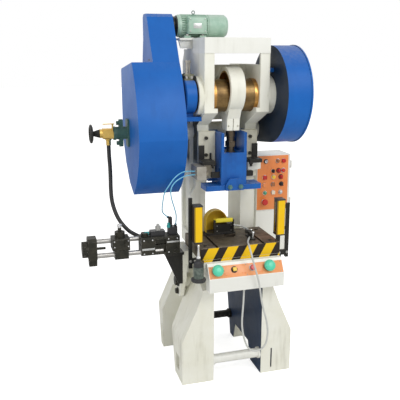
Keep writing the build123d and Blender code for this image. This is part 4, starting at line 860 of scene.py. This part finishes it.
def makeButtonPanel():
    low, high, thick = buttonPanel["low"], buttonPanel["high"], buttonPanel["thick"]
    half = (buttonPanel["right"] - buttonPanel["left"]) / 2
    middle = (buttonPanel["right"] + buttonPanel["left"]) / 2
    reach = math.hypot(high[0] - low[0], high[1] - low[1]) / 2 - buttonPanel["margin"]
    plate = boxPiece((-half, -reach, buttonPanel["under"]), (half, reach - buttonPanel["bareTop"], thick),
                     buttonPanel["edge"])
    place, normal = slopePlace(middle, 0.5)
    tilt = Matrix.Rotation(math.atan2(-normal.y, normal.z), 4, "X")
    finishPiece(setPlace(plate, Matrix.Translation(place) @ tilt), "buttonPanel", "panelOrange")
    inset = buttonPanel["screwInset"]
    screws = [slopePlace(x, share, thick)
              for x in (buttonPanel["left"] + inset, middle, buttonPanel["right"] - inset)
              for share in buttonPanel["screwShares"]]
    finishPiece(stamp(panScrew(buttonPanel["screwSize"]), screws), "panelScrews", "greyCasting")
    for number, (x, radii, finish) in enumerate(buttonPanel["collars"]):
        collar = standAt(makeCollar(radii), *slopePlace(x, 0.5))
        finishPiece(collar, f"buttonCollar{number + 1}", finish)
    legends = []
    wide, tall, rise = buttonPanel["legendSize"]
    for x in buttonPanel["legendXs"]:
        place, normal = slopePlace(x, buttonPanel["legendShare"], thick)
        legend = boxPiece((-wide / 2, -tall / 2, 0), (wide / 2, tall / 2, rise), buttonPanel["legendEdge"])
        legends.append(setPlace(legend, Matrix.Translation(place) @ tilt))
    finishPiece(joinAll(legends), "blankLegends", "orangePaint")


makeButtonPanel()
print("control box dressed")

# The cabinet door's orange field. A row gives the height, radius and rise of its devices, then each
# one's x, kind and finish.
doorPanel = {
    "y": 0.0926, "left": 0.2385, "right": 0.4345, "low": 0.8645, "high": 1.1905, "thick": 0.0012,
    "sunk": 0.0002, "edge": 0.0004, "sides": 28, "handleRoll": 0.5,
    "rows": [
        (1.158, 0.01, 0.009, [(0.29, "key", "chrome"), (0.365, "lamp", "rustBrown"),
                               (0.402, "ring", "buttonRed")]),
        (1.1, 0.011, 0.007, [(0.372, "handle", "buttonRed"), (0.402, "lamp", "buttonRed")]),
        (1.062, 0.011, 0.008, [(0.285, "push", "buttonRed"), (0.34, "lamp", "buttonYellow"),
                               (0.388, "handle", "buttonRed")]),
        (1.018, 0.01, 0.008, [(0.284, "push", "orangePaint"), (0.338, "push", "rustBrown"),
                               (0.392, "handle", "blackPlastic")]),
        (0.968, 0.01, 0.009, [(0.288, "lamp", "lensGreen"), (0.34, "push", "lensWhite"),
                               (0.388, "lamp", "aluminium")]),
    ],
}
# Steps as (share of the radius, added radius, share of the rise, added height).
deviceSteps = {
    "bezel": [(1, 0.004, 0, 0.0), (1, 0.004, 0, 0.0022), (1, 0.0026, 0, 0.0036), (1, 0.0004, 0, 0.0036)],
    "lamp": [(1, 0.0006, 0, 0.0), (1, 0.0006, 1, 0.0), (0.86, 0, 1, 0.0034), (0.5, 0, 1, 0.0052),
             (0.12, 0, 1, 0.0058)],
    "ring": [(1, 0.003, 0, 0.0), (1, 0.003, 1, 0.0), (1, 0.0014, 1, 0.0016), (0.72, 0, 1, 0.0016),
             (0.66, 0, 1, 0.0), (0.64, 0, 1, 0.0)],
    "knob": [(1, 0.0006, 0, 0.0), (1, 0.0006, 1, 0.0), (0.9, 0, 1, 0.0014)],
}
pushCap = {"wider": 0.0008, "higher": 0.002, "edge": 0.0012, "border": 0.002, "depth": 0.0008}
keyGrip = {"left": -0.001, "right": 0.001, "low": -0.006, "high": 0.01, "higher": 0.018, "edge": 0.0005}
handleGrip = {"half": 0.0032, "reach": 1.12, "higher": 0.0105, "edge": 0.0014}


def turnedDevice(name, radius, rise):
    return turnedPiece([(radius * share + wider, rise * part + higher)
                        for share, wider, part, higher in deviceSteps[name]], doorPanel["sides"])


def makeCap(kind, radius, rise):
    if kind in ("lamp", "ring"):
        return turnedDevice(kind, radius, rise)
    if kind == "push":
        half = radius + pushCap["wider"]
        cap = boxPiece((-half, -half, 0.0), (half, half, rise + pushCap["higher"]), pushCap["edge"])
        return sinkFace(cap, (0, 0, 1), pushCap["border"], pushCap["depth"])
    knob = turnedDevice("knob", radius, rise)
    if kind == "key":
        grip = boxPiece((keyGrip["left"], keyGrip["low"], rise),
                        (keyGrip["right"], keyGrip["high"], rise + keyGrip["higher"]), keyGrip["edge"])
    else:
        half, reach = handleGrip["half"], radius * handleGrip["reach"]
        grip = boxPiece((-half, -reach, rise), (half, reach, rise + handleGrip["higher"]),
                        handleGrip["edge"])
    return joinAll([knob, grip])


def makeDoorDevices():
    face = doorPanel["y"] - doorPanel["thick"]
    plate = boxPiece((doorPanel["left"], face, doorPanel["low"]),
                     (doorPanel["right"], doorPanel["y"] + doorPanel["sunk"], doorPanel["high"]),
                     doorPanel["edge"])
    finishPiece(plate, "doorPanel", "orangePaint", "door")
    number = 0
    for z, radius, rise, devices in doorPanel["rows"]:
        for x, kind, finish in devices:
            number += 1
            rim = "blackPlastic" if kind in ("key", "handle") else "chrome"
            roll = doorPanel["handleRoll"] if kind == "handle" else 0.0
            bezel = standAt(turnedDevice("bezel", radius, rise), (x, face, z), front)
            finishPiece(bezel, f"bezel{number}", rim, "door")
            cap = standAt(makeCap(kind, radius, rise), (x, face, z), front, roll)
            finishPiece(cap, f"{kind}{number}", finish, "door")
    return number


up, left, front = (0, 0, 1), (-1, 0, 0), (0, -1, 0)
print("cabinet door dressed:", makeDoorDevices(), "devices")

# Small fittings: boxes with rounded edges, turned profiles, or patterns stamped at (place, axis) pairs.
# They ride on the frame unless they name another body.
patterns = {"bolt": hexBolt, "screw": panScrew, "eye": eyeBolt}
fittings = {
    "guardSpot": {
        "finish": "blackPlastic", "edge": 0.0005,
        "boxes": [((-0.4124, 0.004, 1.738), (-0.4116, 0.04, 1.745))]},
    "motorFlange": {
        "finish": "blackPaint",
        "profile": [(0.03, 0.0), (0.05, 0.0), (0.05, 0.006), (0.034, 0.01)],
        "places": [((-0.262, 0.1, 1.917), left)]},
    "terminalLid": {
        "finish": "greenEnamel", "edge": 0.0022,
        "boxes": [((-0.197, 0.0125, 1.88), (-0.101, 0.0185, 1.956))]},
    "terminalLabel": {
        "finish": "aluminium", "edge": 0.0003,
        "boxes": [((-0.172, 0.0118, 1.902), (-0.128, 0.0128, 1.928))]},
    "terminalScrews": {
        "finish": "groundSteel", "pattern": "screw", "size": 0.0036,
        "places": [((x, 0.0126, z), front) for x in (-0.19, -0.108) for z in (1.887, 1.949)]},
    "motorFootBolts": {
        "finish": "groundSteel", "pattern": "bolt", "size": 0.008,
        "places": [((x, y, 1.866), up) for x in (-0.1975, -0.1125) for y in (0.046, 0.154)]},
    "motorEye": {
        "finish": "darkGreen", "pattern": "eye", "size": 0.008,
        "places": [((-0.15, 0.1, 1.975), up)]},
    "brakeRods": {
        "finish": "greyCasting",
        "profile": [(0.009, 0.0), (0.009, 0.004), (0.006, 0.006), (0.006, 0.056), (0.0095, 0.058),
            (0.0095, 0.068), (0.007, 0.07)],
        "places": [((-0.248, -0.119, 1.67), up), ((-0.224, -0.081, 1.67), up)]},
    "brakeLever": {
        "finish": "blackPaint", "edge": 0.002,
        "boxes": [((-0.213, -0.14, 1.638), (-0.203, -0.096, 1.664)),
            ((-0.262, -0.134, 1.65), (-0.256, -0.066, 1.664))]},
    "brakeBolts": {
        "finish": "groundSteel", "pattern": "bolt", "size": 0.007,
        "places": [((-0.25, -0.1262, 1.655), front), ((-0.222, -0.1262, 1.655), front)]},
    "clampBase": {
        "finish": "blackPaint", "edge": 0.002,
        "boxes": [((0.084, -0.222, 0.7872), (0.112, -0.128, 0.796)),
            ((0.09, -0.205, 0.796), (0.106, -0.15, 0.818)),
            ((0.08, -0.15, 0.806), (0.12, -0.132, 0.822))]},
    "clampScrew": {
        "finish": "chrome",
        "profile": [(0.0048, 0.0), (0.0048, 0.026), (0.0082, 0.028), (0.0082, 0.034), (0.006, 0.037)],
        "places": [((0.098, -0.212, 0.796), up), ((0.114, -0.141, 0.787), up)]},
    "treadleLip": {
        "body": "treadle", "finish": "treadleYellow", "edge": 0.0022,
        "boxes": [((-0.0705, -0.0795, 0.8585), (0.0275, -0.0755, 0.8815))]},
    "conduitSocket": {
        "finish": "chrome",
        "profile": [(0.0118, 0.0), (0.0118, 0.008), (0.01, 0.01), (0.01, 0.018), (0.0078, 0.02)],
        "places": [((0.033, -0.0287, 0.8237), (0.9925, -0.0744, -0.0993))]},
    "switchScrews": {
        "finish": "groundSteel", "pattern": "screw", "size": 0.0035,
        "places": [((x, -0.0592, z), front) for x in (-0.058, 0.026) for z in (0.803, 0.833)]},
    "carriageCap": {
        "body": "carriage", "finish": "chrome",
        "profile": [(0.0105, 0.0), (0.0105, 0.006), (0.014, 0.008), (0.014, 0.014), (0.01, 0.018)],
        "places": [((-0.613, -0.1, 0.8835), up)]},
    "tealElbow": {
        "finish": "tealPlastic",
        "profile": [(0.01, 0.0), (0.01, 0.012), (0.007, 0.014), (0.007, 0.024), (0.005, 0.026)],
        "places": [((-0.4575, -0.1, 0.838), left), ((-0.352, -0.118, 0.868), up)]},
    "feederScrews": {
        "finish": "chrome", "pattern": "screw", "size": 0.0045,
        "places": [((x, -0.1462, z), front)
            for x in (-0.492, -0.446, -0.358, -0.31) for z in (0.738, 0.812)]},
    "feederStrips": {
        "finish": "aluminium", "edge": 0.0006,
        "boxes": [((-0.503, -0.1475, 0.757), (-0.434, -0.1459, 0.768)),
            ((-0.368, -0.1475, 0.79), (-0.3, -0.1459, 0.799))]},
    "carriageScrews": {
        "body": "carriage", "finish": "chrome", "pattern": "screw", "size": 0.0042,
        "places": [((x, -0.1462, z), front) for x in (-0.648, -0.575) for z in (0.79, 0.82)]},
    "curtainCaps": {
        "finish": "blackPlastic", "edge": 0.0016,
        "boxes": [((x0, -0.2878, z0), (x0 + 0.0456, -0.2322, z0 + 0.0075))
            for x0, z0 in ((-0.2538, 1.0105), (-0.2538, 0.8165), (0.2062, 1.0145), (0.2062, 0.8205))]},
    "curtainLenses": {
        "finish": "smokedLens", "edge": 0.0003,
        "boxes": [((-0.2112, -0.2735, 0.8345), (-0.21, -0.2465, 0.9975)),
            ((0.207, -0.2735, 0.8385), (0.2082, -0.2465, 1.0015))]},
    "postBolts": {
        "finish": "groundSteel", "pattern": "bolt", "size": 0.006,
        "places": [((x, -0.2332, 0.704), front) for x in (-0.26, -0.236, 0.248, 0.293)]},
    "filterKnob": {
        "finish": "chrome",
        "profile": [(0.011, 0.0), (0.011, 0.008), (0.0075, 0.012), (0.006, 0.034), (0.0045, 0.058),
            (0.0062, 0.06), (0.0062, 0.07), (0.004, 0.073)],
        "places": [((-0.243, -0.322, 0.75), up)]},
}


def makeFitting(name, plan):
    if "boxes" in plan:
        piece = joinAll([boxPiece(low, high, plan["edge"]) for low, high in plan["boxes"]])
    elif "profile" in plan:
        piece = stamp(turnedPiece(plan["profile"]), plan["places"])
    else:
        piece = stamp(patterns[plan["pattern"]](plan["size"]), plan["places"])
    finishPiece(piece, name, plan["finish"], plan.get("body", "frame"))


for name, plan in fittings.items():
    makeFitting(name, plan)
print("small fittings made:", len(fittings))
